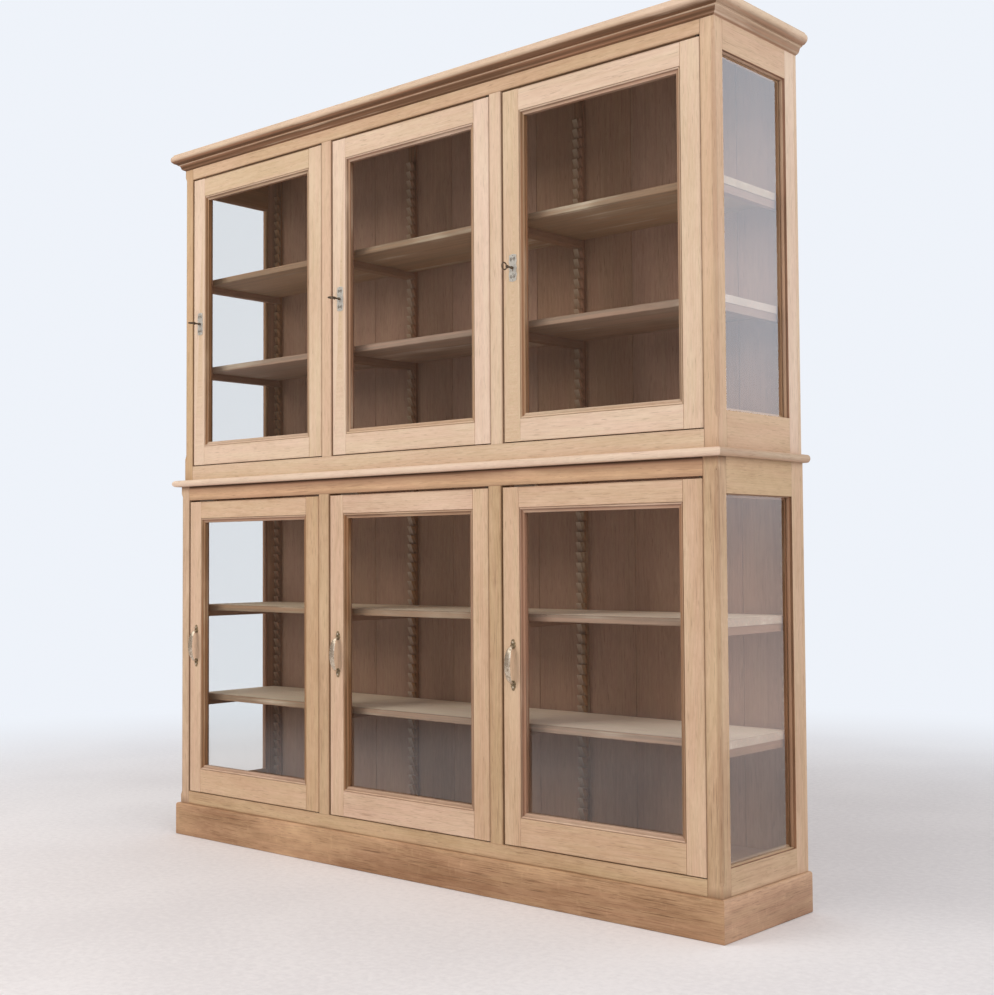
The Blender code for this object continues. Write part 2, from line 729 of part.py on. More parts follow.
def make_front_rails(tier, wood):
    """Rails below and above the doors, with their pivot pins and, above, the door stops."""
    reach = tier.half - tier.post - FIT
    doors = [door for door in DOORS if door.tier is tier]
    rails = []
    for name, low, high in (
        ("bottom", tier.bottom + FIT, tier.foot), ("top", tier.head, tier.top - FIT),
    ):
        mesh = bmesh.new()
        add_box(mesh, (-reach, tier.front, low), (reach, tier.front + DOOR_THICK, high))
        rails.append(to_object(f"{tier.name}_front_{name}_rail", mesh, wood))

    low_pin = pivot(FOOT_GAP, FOOT_GAP - FIT)
    high_pin = pivot(HEAD_GAP, WASHER_THICK)
    upside_down = Matrix.Rotation(math.pi, 4, "X")
    low_pins, high_pins, stops = bmesh.new(), bmesh.new(), bmesh.new()
    for door in doors:
        x, y, _ = door.axis
        add_mesh(low_pins, low_pin, Matrix.Translation((x, y, tier.foot)))
        add_mesh(high_pins, high_pin, Matrix.Translation((x, y, tier.head)) @ upside_down)
        add_stop(stops, door)
    bottom, top = rails
    combine(bottom, to_object(f"{bottom.name}_pins", low_pins), "UNION")
    combine(top, to_object(f"{top.name}_pins", high_pins), "UNION")
    combine(top, to_object(f"{top.name}_stops", stops), "UNION")


def add_stop(mesh, door):
    """Add the strip behind the top rail that the door's latch side closes against."""
    left = door.tier.bay(door.index)[0] + STOP_INSET
    above, below = STOP_ABOVE, -HEAD_GAP - STOP_LAP
    profile = [
        (-GLUED, above), (-GLUED, GLUED), (FIT, GLUED), (FIT, below), (STOP_THICK, below),
        (STOP_THICK, above),
    ]
    start = Vector((left, door.rear, door.tier.head))
    end = start + Vector((STOP_LONG, 0, 0))
    sweep(mesh, profile, ((start, (0, 1, 0)), (end, (0, 1, 0))), (0, 0, 1))


def cut_keeps(doors, holders):
    """Cut a slot for each door's lock bolt in the mullion or post beside it."""
    for door, holder in zip(doors, holders):
        edge = door.tier.bay(door.index)[0]
        _, middle, height = door.bolt
        half_thick = BOLT_THICK / 2 + KEEP_CLEARANCE
        half_high = BOLT_HIGH / 2 + KEEP_CLEARANCE
        mesh = bmesh.new()
        add_box(
            mesh, (edge - KEEP_DEEP, middle - half_thick, height - half_high),
            (edge + CUT_PAST, middle + half_thick, height + half_high),
        )
        combine(holder, to_object(f"{door.name}_keep", mesh), "DIFFERENCE")


# Doors

@dataclass(frozen=True)
class Door:
    """Place of one door in its opening."""

    tier: Tier
    index: int

    @property
    def name(self):
        return f"{self.tier.name}_{BAY_NAMES[self.index]}_door"

    @property
    def left(self):
        return self.tier.bay(self.index)[0] + LATCH_GAP

    @property
    def right(self):
        return self.tier.bay(self.index)[1] - HINGE_GAP

    @property
    def bottom(self):
        return self.tier.foot + FOOT_GAP

    @property
    def top(self):
        return self.tier.head - HEAD_GAP

    @property
    def front(self):
        return self.tier.front

    @property
    def rear(self):
        return self.tier.front + DOOR_THICK

    @property
    def glass_left(self):
        return self.left + STILE_WIDE

    @property
    def glass_right(self):
        return self.right - STILE_WIDE

    @property
    def glass_bottom(self):
        return self.bottom + self.tier.door_bottom_rail

    @property
    def glass_top(self):
        return self.top - self.tier.door_top_rail

    @property
    def axis(self):
        """Foot of the pivot axis."""
        return self.right - PIN_SIDE, self.front + PIN_BACK, self.tier.foot

    @property
    def lock(self):
        """Point where the key's axis meets the door's front."""
        return self.tier.bay(self.index)[0] + LOCK_SIDE, self.front, self.tier.foot + LOCK_HIGH

    @property
    def bolt(self):
        """Middle of the bolt's tip when it is drawn back."""
        return self.left + CASE_INSET, self.rear + FIT + CASE_THICK / 2, self.lock[2] + BOLT_ABOVE

    @property
    def turned(self):
        return KEY_TURNED[BAY_NAMES[self.index]]


DOORS = [Door(tier, index) for tier in TIERS for index in range(len(BAY_NAMES))]


def pin_holes(door):
    mesh = bmesh.new()
    x, y, _ = door.axis
    radius = PIN_RADIUS + PIN_CLEARANCE
    depth = PIN_INTO_DOOR + PIN_CLEARANCE + CUT_PAST
    add_round(mesh, (x, y, door.bottom - CUT_PAST), radius, depth, PIN_SIDES, (0, 0, 1))
    add_round(mesh, (x, y, door.top + CUT_PAST), radius, depth, PIN_SIDES, (0, 0, -1))
    return to_object(f"{door.name}_pin_holes", mesh)


def rectangle(left, right, bottom, top):
    return [(left, bottom), (right, bottom), (right, top), (left, top)]


def make_door_frame(door, wood):
    """Stiles and rails with the moulding in front of the glass."""
    outlines = [
        rectangle(door.left, door.right, door.bottom, door.top),
        rectangle(door.glass_left, door.glass_right, door.glass_bottom, door.glass_top),
    ]
    data = solid_of(flat_curve(f"{door.name}_outline", outlines, DOOR_THICK))
    data.transform(Matrix.Translation((0, (door.front + door.rear) / 2, 0)) @ TO_FRONT)
    frame = link(f"{door.name}_frame", data, wood)

    bead = arc((BEAD_RADIUS + QUIRK_WIDE, QUIRK_DEEP), BEAD_RADIUS, 180, 360, 5)
    profile = [
        (-GLUED, GLASS_DEPTH - FIT), (-GLUED, QUIRK_DEEP), *bead, (FLAT_START, FLAT_DEEP),
        (MOULDING_WIDE, FLAT_DEEP), (MOULDING_WIDE, GLASS_DEPTH - FIT),
    ]
    mesh = bmesh.new()
    add_ring(
        mesh, profile, (door.glass_left, door.front, door.glass_bottom),
        (door.glass_right, door.front, door.glass_top), (1, 0, 0), (0, 0, 1), (0, 1, 0),
    )
    combine(frame, to_object(f"{door.name}_moulding", mesh), "UNION")
    combine(frame, pin_holes(door), "DIFFERENCE")
    return frame


def make_door_beads(door):
    """Mitred frame of plain beads behind the glass."""
    near = GLASS_DEPTH + GLASS_THICK + FIT
    profile = [(FIT, near), (REAR_BEAD_WIDE, near), (REAR_BEAD_WIDE, DOOR_THICK), (FIT, DOOR_THICK)]
    mesh = bmesh.new()
    add_ring(
        mesh, profile, (door.glass_left, door.front, door.glass_bottom),
        (door.glass_right, door.front, door.glass_top), (1, 0, 0), (0, 0, 1), (0, 1, 0),
    )
    return to_object(f"{door.name}_beads", mesh, "red_oak")


def make_door_glass(door):
    near = door.front + GLASS_DEPTH
    mesh = bmesh.new()
    add_box(
        mesh, (door.glass_left + GLASS_EDGE, near, door.glass_bottom + GLASS_EDGE),
        (door.glass_right - GLASS_EDGE, near + GLASS_THICK, door.glass_top - GLASS_EDGE),
    )
    return to_object(f"{door.name}_glass", mesh, "glass")


# Locks of the upper doors

def keyhole():
    """Outline of a keyhole: a round for the shank over a slot for the bit."""
    radius = SHANK_RADIUS + RUN_CLEARANCE
    half = KEYHOLE_SLOT / 2
    shoulder = math.degrees(math.asin(half / radius))
    top = arc((0.0, 0.0), radius, -90 + shoulder, 270 - shoulder, 10)
    return [*top, (-half, -KEYHOLE_DROP), (half, -KEYHOLE_DROP)]


def key_passage(door):
    """Cutter for the keyhole right through the stile."""
    deep = DOOR_THICK + 2 * CUT_PAST
    data = solid_of(flat_curve(f"{door.name}_passage_outline", [keyhole()], deep))
    x, y, z = door.lock
    data.transform(Matrix.Translation((x, y + DOOR_THICK / 2, z)) @ TO_FRONT)
    return link(f"{door.name}_key_passage", data)


def plate_outline():
    """Plate with a slight waist and pointed ends, drawn about the key's axis."""
    steps = 12
    right = []
    for step in range(1, steps):
        rise = 1 - 2 * step / steps
        waist = 0.92 + 0.08 * math.cos(4 * math.pi * rise)
        tip = min(1.0, 0.50 + 4.2 * (1 - abs(rise)))
        right.append((PLATE_WIDE / 2 * waist * tip, rise * PLATE_HIGH / 2))
    left = [(-x, y) for x, y in reversed(right)]
    return [(0.0, PLATE_HIGH / 2), *right, (0.0, -PLATE_HIGH / 2), *left]


def make_plate(door):
    plate = flat_curve(f"{door.name}_keyhole_plate", [plate_outline(), keyhole()], PLATE_THICK, "nickel")
    x, y, z = door.lock
    plate.location = (x, y - FIT - PLATE_THICK / 2, z)
    plate.rotation_euler = (math.radians(90), 0.0, 0.0)
    return plate


def make_lock_case(door):
    x, _, z = door.lock
    left, middle, height = door.bolt
    near = door.rear + FIT
    mesh = bmesh.new()
    add_box(mesh, (left, near, z - CASE_BELOW), (left + CASE_WIDE, near + CASE_THICK, z + CASE_ABOVE))
    case = to_object(f"{door.name}_lock_case", mesh, "iron")
    mesh = bmesh.new()
    add_round(mesh, (x, near - CUT_PAST, z), CHAMBER_RADIUS, CHAMBER_DEEP + CUT_PAST, 16, (0, 1, 0))
    half_thick = BOLT_THICK / 2 + RUN_CLEARANCE
    half_high = BOLT_HIGH / 2 + RUN_CLEARANCE
    add_box(
        mesh, (left - CUT_PAST, middle - half_thick, height - half_high),
        (left + BOLT_LONG + RUN_CLEARANCE, middle + half_thick, height + half_high),
    )
    combine(case, to_object(f"{door.name}_lock_hollow", mesh), "DIFFERENCE")
    return case


def make_bolt(door):
    tip, middle, height = door.bolt
    tip -= BOLT_TRAVEL * door.turned / 180
    mesh = bmesh.new()
    add_box(
        mesh, (tip, middle - BOLT_THICK / 2, height - BOLT_HIGH / 2),
        (tip + BOLT_LONG, middle + BOLT_THICK / 2, height + BOLT_HIGH / 2),
    )
    return to_object(f"{door.name}_bolt", mesh, "steel")


def key_shank():
    """Turned shank with two collars, along +Z out of the door."""
    outer = RING_STAND - RING_RADIUS + RING_WIRE
    inner = -(DOOR_THICK + FIT + CHAMBER_DEEP - RUN_CLEARANCE)
    profile = [(0.0, outer), (SHANK_RADIUS, outer)]
    for middle in (outer - COLLAR_FROM_RING, PLATE_THICK + COLLAR_FROM_PLATE):
        profile.extend((
            (SHANK_RADIUS, middle + COLLAR_LONG / 2), (COLLAR_RADIUS, middle + COLLAR_LONG / 6),
            (COLLAR_RADIUS, middle - COLLAR_LONG / 6), (SHANK_RADIUS, middle - COLLAR_LONG / 2),
        ))
    profile.extend(((SHANK_RADIUS, inner), (0.0, inner)))
    return turned("key_shank", profile, 10)


def key_ring(name, place):
    """Ring at the outer end of a key, in the plane of its bit."""
    bpy.ops.mesh.primitive_torus_add(
        major_radius=RING_RADIUS - RING_WIRE, minor_radius=RING_WIRE, major_segments=18, minor_segments=6,
    )
    ring = bpy.context.object
    data = ring.data
    bpy.data.objects.remove(ring, do_unlink=True)
    upright = Matrix.Translation((0, 0, RING_STAND)) @ Matrix.Rotation(math.radians(90), 4, "Y")
    data.transform(place @ upright)
    return link(name, data)


def make_key(door):
    """Key with a ring, turned about its shank as it is left in the lock."""
    turn = Matrix.Rotation(math.radians(door.turned), 4, "Z")
    place = Matrix.Translation(door.lock) @ TO_FRONT @ turn
    mesh = bmesh.new()
    add_mesh(mesh, key_shank(), place)
    key = to_object(f"{door.name}_key", mesh, "iron")
    combine(key, key_ring(f"{key.name}_ring", place), "UNION")
    near = DOOR_THICK + FIT + RUN_CLEARANCE
    mesh = bmesh.new()
    add_box(mesh, (-BIT_THICK / 2, -BIT_REACH, -near - BIT_LONG), (BIT_THICK / 2, 0.0, -near))
    bmesh.ops.transform(mesh, matrix=place, verts=mesh.verts)
    combine(key, to_object(f"{key.name}_bit", mesh), "UNION")
    smooth(key)
    return key


# Handles of the lower doors

def bow_mesh():
    """Bow of a handle along local Y, standing out along local Z."""
    curve = bpy.data.curves.new("bow", "CURVE")
    curve.dimensions = "3D"
    curve.bevel_depth = BOW_THICK / 2
    curve.bevel_resolution = 2
    curve.use_fill_caps = True
    spline = curve.splines.new("POLY")
    steps = 14
    spline.points.add(steps)
    half_span = HANDLE_LONG / 2 - BOW_INSET
    rise = HANDLE_STAND - BOW_THICK / 2 - FOOT_THICK / 2
    for step, point in enumerate(spline.points):
        angle = math.pi * step / steps
        point.co = (0.0, half_span * math.cos(angle), FOOT_THICK / 2 + rise * math.sin(angle), 1.0)
        point.radius = 0.6 + 0.4 * math.sin(angle)
    bow = link("bow", curve)
    bow.scale = (BOW_WIDE / BOW_THICK, 1.0, 1.0)
    return solid_of(bow)


def foot_outline(side):
    """Lobed leaf at one end of a handle."""
    centre = side * (HANDLE_LONG - FOOT_LONG) / 2
    points = []
    for step in range(24):
        angle = 2 * math.pi * step / 24
        lobe = 0.90 + 0.10 * math.sin(5 * angle)
        across = FOOT_WIDE / 2 * lobe * math.cos(angle)
        points.append((across, centre + side * FOOT_LONG / 2 * lobe * math.sin(angle)))
    return points if side > 0 else points[::-1]


def screw_mesh():
    """Domed screw whose head seats at height zero, with its shank down."""
    dome = [(SCREW_HEAD_RADIUS * math.sin(a), SCREW_HEAD_HIGH * math.cos(a))
            for a in (0.0, math.pi / 6, math.pi / 3, math.pi / 2)]
    profile = [
        *dome, (SCREW_HEAD_RADIUS, -FOOT_THICK / 2), (SCREW_RADIUS, -FOOT_THICK / 2),
        (SCREW_RADIUS, -SCREW_LONG), (0.0, -SCREW_LONG),
    ]
    return turned("screw", profile, 8)


def make_handle(door, frame):
    """Cast bow handle with leaf-shaped feet and a screw through each foot into the stile."""
    x = door.tier.bay(door.index)[0] + HANDLE_SIDE
    place = Matrix.Translation((x, door.front - FIT, door.tier.foot + HANDLE_HIGH)) @ TO_FRONT
    mesh = bmesh.new()
    add_mesh(mesh, bow_mesh(), place)
    handle = to_object(f"{door.name}_handle", mesh, "brass")

    feet, screws, holes = bmesh.new(), bmesh.new(), bmesh.new()
    screw = screw_mesh()
    for side in (-1, 1):
        foot = flat_curve("foot", [foot_outline(side)], FOOT_THICK)
        foot.location = (0.0, 0.0, FOOT_THICK / 2)
        add_mesh(feet, solid_of(foot), place)
        y = side * (HANDLE_LONG / 2 - SCREW_FROM_END)
        add_mesh(screws, screw, place @ Matrix.Translation((0.0, y, FOOT_THICK)))
        start = place @ Vector((0.0, y, CUT_PAST))
        depth = SCREW_LONG - FOOT_THICK + CUT_PAST + RUN_CLEARANCE
        add_round(holes, start, SCREW_RADIUS + PIN_CLEARANCE, depth, 8, (0, 1, 0))
    combine(handle, to_object(f"{handle.name}_feet", feet), "UNION")
    combine(handle, to_object(f"{handle.name}_screws", screws), "UNION")
    combine(frame, to_object(f"{handle.name}_screw_holes", holes), "DIFFERENCE")
    smooth(handle)
    return handle


# Assembly

def make_tier(tier, wood):
    left_end = make_end(tier, -1, wood)
    make_end(tier, 1, wood)
    mullions = [make_mullion(tier, index, wood) for index in range(len(BAY_NAMES) - 1)]
    make_front_rails(tier, wood)
    make_back(tier)
    for tooth, name in zip(tier.shelf_teeth, ("lower", "higher")):
        make_shelf(tier, tooth, name)
    if tier is UPPER:
        doors = [door for door in DOORS if door.tier is tier]
        cut_keeps(doors, [left_end, *mullions])


def make_door(door, wood):
    hinge = axis_empty(f"{door.name}_hinge", door.axis)
    frame = make_door_frame(door, wood)
    pieces = [frame, make_door_beads(door), make_door_glass(door)]
    if door.tier is BASE:
        pieces.append(make_handle(door, frame))
    else:
        combine(frame, key_passage(door), "DIFFERENCE")
        pieces.extend((make_lock_case(door), make_plate(door)))
        carry(make_key(door), axis_empty(f"{door.name}_key_turn", door.lock, hinge))
        carry(make_bolt(door), axis_empty(f"{door.name}_bolt_slide", door.bolt, hinge))
    for piece in pieces:
        carry(piece, hinge)


make_plinth()
make_floor()
make_deck()
make_roof()
for each_tier, each_wood in ((BASE, "warm_oak"), (UPPER, "pale_oak")):
    make_tier(each_tier, each_wood)
    for each_door in DOORS:
        if each_door.tier is each_tier:
            make_door(each_door, each_wood)
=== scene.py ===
# %% [markdown]
# # A glazed oak display cabinet, dressed for a portrait
#
# The cabinet is two glazed carcasses, one on the other: three doors on each, a window at each end,
# shelves on saw-tooth racks inside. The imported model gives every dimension. This script dresses it
# in timber, glass and metal, one step per cell, and each step says why it is made the way it is.

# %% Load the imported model
import json
import math
import random
from itertools import cycle

import bmesh
import bpy
from mathutils import Matrix, Vector


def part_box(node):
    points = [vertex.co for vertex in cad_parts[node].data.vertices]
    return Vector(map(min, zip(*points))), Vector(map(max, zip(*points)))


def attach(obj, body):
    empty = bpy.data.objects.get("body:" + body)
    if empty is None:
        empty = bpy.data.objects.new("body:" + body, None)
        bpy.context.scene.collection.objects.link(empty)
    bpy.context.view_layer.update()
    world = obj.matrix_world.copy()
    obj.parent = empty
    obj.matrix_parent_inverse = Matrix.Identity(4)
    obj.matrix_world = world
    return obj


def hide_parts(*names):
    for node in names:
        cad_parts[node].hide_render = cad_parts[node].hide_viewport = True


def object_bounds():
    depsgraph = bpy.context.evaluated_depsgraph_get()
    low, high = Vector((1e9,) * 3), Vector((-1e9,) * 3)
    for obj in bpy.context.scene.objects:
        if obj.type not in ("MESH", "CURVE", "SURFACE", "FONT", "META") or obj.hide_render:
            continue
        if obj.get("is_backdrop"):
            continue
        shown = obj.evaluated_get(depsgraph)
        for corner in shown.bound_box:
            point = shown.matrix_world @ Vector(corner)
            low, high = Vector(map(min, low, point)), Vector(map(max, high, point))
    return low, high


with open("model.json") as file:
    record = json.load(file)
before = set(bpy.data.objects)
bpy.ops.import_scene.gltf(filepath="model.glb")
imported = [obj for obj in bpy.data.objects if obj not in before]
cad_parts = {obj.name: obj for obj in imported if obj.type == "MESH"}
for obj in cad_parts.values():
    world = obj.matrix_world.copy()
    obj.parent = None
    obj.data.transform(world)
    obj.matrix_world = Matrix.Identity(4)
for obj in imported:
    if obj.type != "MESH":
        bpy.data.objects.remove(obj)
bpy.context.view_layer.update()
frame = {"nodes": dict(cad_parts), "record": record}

TIERS = ("base", "upper")
BAYS = ("left", "middle", "right")
DOORS = [f"{tier}_{bay}_door" for tier in TIERS for bay in BAYS]
JOINTS = {joint["name"]: joint for joint in frame["record"]["behaviour"]["joints"]}

# %% [markdown]
# ## The camera
#
# A photograph is a measurement. Forty corners of the cabinet, read off the picture, fix where the
# lens stood: low, close and to the right, which is why the near corner looms and the far end shrinks.
# A quaternion made from three axes carries that view with its small roll, and no shift is needed.

# %% Place the camera
PICTURE = (994, 995)  # pixels
FOCAL_PIXELS = 1438.45
SENSOR = 36.0  # millimetres along the longer side
LENS_AT = (2.8549, -3.0224, 0.8962)
YAW, PITCH, ROLL = (math.radians(angle) for angle in (41.4311, 2.2679, -0.3509))


def placed(name, data):
    """A new object in the scene."""
    made = bpy.data.objects.new(name, data)
    bpy.context.scene.collection.objects.link(made)
    return made


forward = Vector((-math.sin(YAW) * math.cos(PITCH), math.cos(YAW) * math.cos(PITCH), math.sin(PITCH)))
level = forward.cross(Vector((0, 0, 1))).normalized()
upright = level.cross(forward)
right = level * math.cos(ROLL) + upright * math.sin(ROLL)
up = upright * math.cos(ROLL) - level * math.sin(ROLL)

lens = bpy.data.cameras.new("portrait_camera")
lens.sensor_width = SENSOR
lens.lens = FOCAL_PIXELS * SENSOR / max(PICTURE)
camera = placed("portrait_camera", lens)
camera.rotation_mode = "QUATERNION"
camera.rotation_quaternion = Matrix((right, up, -forward)).transposed().to_quaternion()
camera.location = LENS_AT
bpy.context.scene.camera = camera
bpy.context.scene.view_settings.view_transform = "Standard"
print(f"lens: {lens.lens:.2f} mm")

# %% [markdown]
# ## Light and ground
#
# Stripped oak wants soft light, so that mouldings cast gentle shadows and the grain stays readable.
# Three things give it. A world that is near white to the camera is the backdrop, the same world at
# lower strength fills the shadows, and two large lamps in front model the mouldings. Glass shows what
# stands round it, so glossy faces see a world that is dim to the front and left and bright to the right.

# %% A socket that can be used in sums
class Wire:
    """The output of a shader node. Sums on wires add the Math nodes that work them out."""

    def __init__(self, finish, socket):
        self.finish = finish
        self.socket = socket

    def __add__(self, other):
        return self.finish.math("ADD", self, other)

    def __radd__(self, other):
        return self.finish.math("ADD", other, self)

    def __sub__(self, other):
        return self.finish.math("SUBTRACT", self, other)

    def __rsub__(self, other):
        return self.finish.math("SUBTRACT", other, self)

    def __mul__(self, other):
        return self.finish.math("MULTIPLY", self, other)

    def __rmul__(self, other):
        return self.finish.math("MULTIPLY", other, self)

    def __truediv__(self, other):
        return self.finish.math("DIVIDE", self, other)

    def __rtruediv__(self, other):
        return self.finish.math("DIVIDE", other, self)


class Finish:
    """A material, or the world, and the one way to add a node to it."""

    def __init__(self, owner):
        self.owner = owner
        owner.use_nodes = True
        self.tree = owner.node_tree

    def node(self, kind, settings=None, inputs=None, output=0):
        made = self.tree.nodes.new(kind)
        for name, value in (settings or {}).items():
            setattr(made, name, value)
        for name, value in (inputs or {}).items():
            self.join(made.inputs[name], value)
        return Wire(self, made.outputs[output])

    def join(self, socket, value):
        if isinstance(value, Wire):
            self.tree.links.new(value.socket, socket)
        else:
            socket.default_value = (*value, 1.0) if socket.type == "RGBA" else value

    def fill(self, name, inputs):
        """Set or link the inputs of a node that is there already."""
        for socket, value in inputs.items():
            self.join(self.tree.nodes[name].inputs[socket], value)

    def math(self, operation, *values):
        return self.node("ShaderNodeMath", {"operation": operation}, dict(enumerate(values)))

    def mix(self, share, first, second, blend="MIX"):
        """Colours between first and second."""
        settings = {"data_type": "RGBA", "blend_type": blend}
        return self.node("ShaderNodeMix", settings, {0: share, 6: first, 7: second}, output=2)

    def noise(self, vector, factors, detail=2.0, roughness=0.5):
        """Noise between about 0.2 and 0.8, with features of about 1 / factor metres on each axis."""
        scaled = self.node("ShaderNodeVectorMath", {"operation": "MULTIPLY"}, {0: vector, 1: factors})
        inputs = {"Vector": scaled, "Scale": 1.0, "Detail": detail, "Roughness": roughness}
        return self.node("ShaderNodeTexNoise", None, inputs)

    def step(self, value, low, high):
        """Rises smoothly from 0 to 1 as value goes from low to high."""
        inputs = {"Value": value, "From Min": low, "From Max": high}
        return self.node("ShaderNodeMapRange", {"interpolation_type": "SMOOTHSTEP"}, inputs)


# %% Light the studio
BACKDROP = (0.86, 0.895, 0.955)
FILL = (0.95, 0.965, 1.0)
FILL_STRENGTH = 0.66
DIM_FRONT = (0.17, 0.12, 0.09)  # what glass mirrors to the front and the left
LOW_GLOW = (1.1, 0.98, 0.97)  # to the right, near the floor
HIGH_GLOW = (1.85, 1.98, 2.2)  # and above the waist
SKYLIGHT = (1.9, 1.85, 1.75)  # overhead, where only metal and mouldings can mirror it


def mirrored(finish, across, height):
    """What a glossy face mirrors, from how far a direction points to the right and up."""
    bright = finish.mix(finish.step(height, -0.03, 0.16), LOW_GLOW, HIGH_GLOW)
    around = finish.mix(finish.step(across, -0.25, 0.6), DIM_FRONT, bright)
    return finish.mix(finish.step(height, 0.42, 0.75), around, SKYLIGHT)


world = bpy.data.worlds.new("pale_studio")
bpy.context.scene.world = world
studio = Finish(world)
direction = studio.node("ShaderNodeTexCoord", output="Generated")
across, height = (
    studio.node("ShaderNodeSeparateXYZ", None, {0: direction}, output=axis) for axis in ("X", "Z")
)
to_camera, glossy, through_glass = (
    studio.node("ShaderNodeLightPath", output=f"Is {name} Ray")
    for name in ("Camera", "Glossy", "Transmission")
)
seen = studio.math("MAXIMUM", to_camera, through_glass)
either = studio.math("MAXIMUM", seen, glossy)
lit = studio.mix(glossy, FILL, mirrored(studio, across, height))
studio.fill("Background", {
    "Color": studio.mix(seen, lit, BACKDROP),
    "Strength": either * (1 - FILL_STRENGTH) + FILL_STRENGTH,
})


def lamp(name, place, target, size, power, colour):
    """A large soft lamp that no glossy face mirrors."""
    data = bpy.data.lights.new(name, "AREA")
    data.shape = "RECTANGLE"
    data.size, data.size_y = size
    data.energy = power
    data.color = colour
    light = placed(name, data)
    light.location = place
    light.rotation_euler = (Vector(target) - Vector(place)).to_track_quat("-Z", "Y").to_euler()
    light.visible_glossy = False
    return data


CENTRE = (0.0, 0.0, 1.1)
front_lamp = lamp("front_lamp", (-2.2, -4.6, 3.4), CENTRE, (3.4, 2.4), 135.0, (1.0, 0.97, 0.93))
side_lamp = lamp("side_lamp", (4.4, -1.6, 2.8), CENTRE, (2.6, 2.4), 60.0, (0.95, 0.97, 1.0))
print("lamps:", front_lamp.energy, side_lamp.energy)

# %% Lay the floor
FLOOR_RADIUS = 14.0
FLOOR_SINK = 0.0005  # a hair below the plinth's foot
FADE = (1.7, 4.8)  # metres from the middle, where the floor turns into backdrop
AWAY_HEIGHT = -0.1  # how far down a mirror looks where it meets the far floor


def built(mesh, name):
    """The data of a finished bmesh."""
    data = bpy.data.meshes.new(name)
    mesh.to_mesh(data)
    mesh.free()
    return data


floor_mesh = bmesh.new()
bmesh.ops.create_circle(floor_mesh, cap_ends=True, segments=96, radius=FLOOR_RADIUS)
floor = placed("floor", built(floor_mesh, "floor"))
floor.location.z = -FLOOR_SINK

screed = Finish(bpy.data.materials.new("pale_screed"))
spot = screed.node("ShaderNodeTexCoord", output="Object")
speck = screed.noise(spot, (55.0, 55.0, 55.0), detail=4.0, roughness=0.7)
cloud = screed.noise(spot, (1.4, 1.4, 1.4), detail=2.0)
patchy = screed.step(speck * 0.6 + cloud * 0.4, 0.35, 0.65)
ground = screed.mix(patchy, (0.8, 0.755, 0.745), (0.9, 0.855, 0.84))
screed.fill("Principled BSDF", {"Base Color": ground, "Roughness": 0.85})
away = screed.node("ShaderNodeVectorMath", {"operation": "LENGTH"}, {0: spot}, output="Value")
across = screed.node("ShaderNodeSeparateXYZ", None, {0: spot}, output="X")
in_glass = screed.node("ShaderNodeLightPath", output="Is Glossy Ray")
glow = screed.mix(in_glass, BACKDROP, mirrored(screed, across / away, AWAY_HEIGHT))
far_off = screed.node("ShaderNodeEmission", None, {"Color": glow, "Strength": 1.0})
near_by = Wire(screed, screed.tree.nodes["Principled BSDF"].outputs[0])
shown = screed.node("ShaderNodeMixShader", None, {0: screed.step(away, *FADE), 1: near_by, 2: far_off})
screed.fill("Material Output", {"Surface": shown})
floor.data.materials.append(screed.owner)
floor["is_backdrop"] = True
print("floor:", FLOOR_RADIUS)

# %% [markdown]
# ## Oak
#
# Planks are slices of a log, so their figure is a slice through its rings. Each piece of timber
# carries its own place in a log as a mesh attribute: x along the fibres, y across the face, z into
# it. The rings are the distance from the log's heart, bent by slow noise, and a slice near the heart
# gives the arches of a cathedral figure by itself. Pores are short dark dashes in the first half of
# each ring. One function makes every species, because they differ only in numbers.

# %% Outlines, and how they become a mesh
AXES = {"x": Vector((1, 0, 0)), "y": Vector((0, 1, 0)), "z": Vector((0, 0, 1))}
ARRIS = 0.0006  # what a plane takes off a sharp edge, metres
BAND = 0.0045  # a narrow strip beside each arris, where grime, old finish and painted shade can fade out


def way(axis):
    """The direction that a name such as x or -x gives."""
    return AXES[axis[-1]] * (-1 if axis.startswith("-") else 1)


def eased(wide, high, ease, band):
    """A rectangle with its four corners planed off, and a point a little way along each wide face."""
    band = min(band, wide * 0.4)
    return [
        (ease, 0.0), (band, 0.0), (wide - band, 0.0), (wide - ease, 0.0), (wide, ease), (wide, high - ease),
        (wide - ease, high), (wide - band, high), (band, high), (ease, high), (0.0, high - ease), (0.0, ease),
    ]


def arc(centre, radius, start, end, steps):
    """Points on an arc, with angles in degrees."""
    angles = [math.radians(start + (end - start) * step / steps) for step in range(steps + 1)]
    return [(centre[0] + radius * math.cos(a), centre[1] + radius * math.sin(a)) for a in angles]


def oval(centre, first, second, count):
    """Points round a centre, given two half axes."""
    turns = [math.tau * number / count for number in range(count)]
    return [centre + first * math.cos(turn) + second * math.sin(turn) for turn in turns]


def skin(mesh, rings, closed=False):
    """Skin a row of rings that have the same number of points, and close both ends or the whole row."""
    rows = [[mesh.verts.new(point) for point in ring] for ring in rings]
    count = len(rows[0])
    if not closed:
        mesh.faces.new(rows[0])
        mesh.faces.new(rows[-1][::-1])
    for near, far in zip(rows, rows[1:] + rows[:1] if closed else rows[1:]):
        for this in range(count):
            following = (this + 1) % count
            mesh.faces.new((near[this], far[this], far[following], near[following]))
    return [vert for row in rows for vert in row]


def show(name, mesh, material, body, replaces=None, smooth=None):
    """Put a finished bmesh in the scene, on its body and in its material slot."""
    piece = placed(name, built(mesh, name))
    piece.data.materials.append(material)
    if smooth:
        piece.data.shade_smooth()
        piece.data.set_sharp_from_angle(angle=math.radians(smooth))
    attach(piece, body)
    if replaces:
        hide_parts(replaces)
    return piece


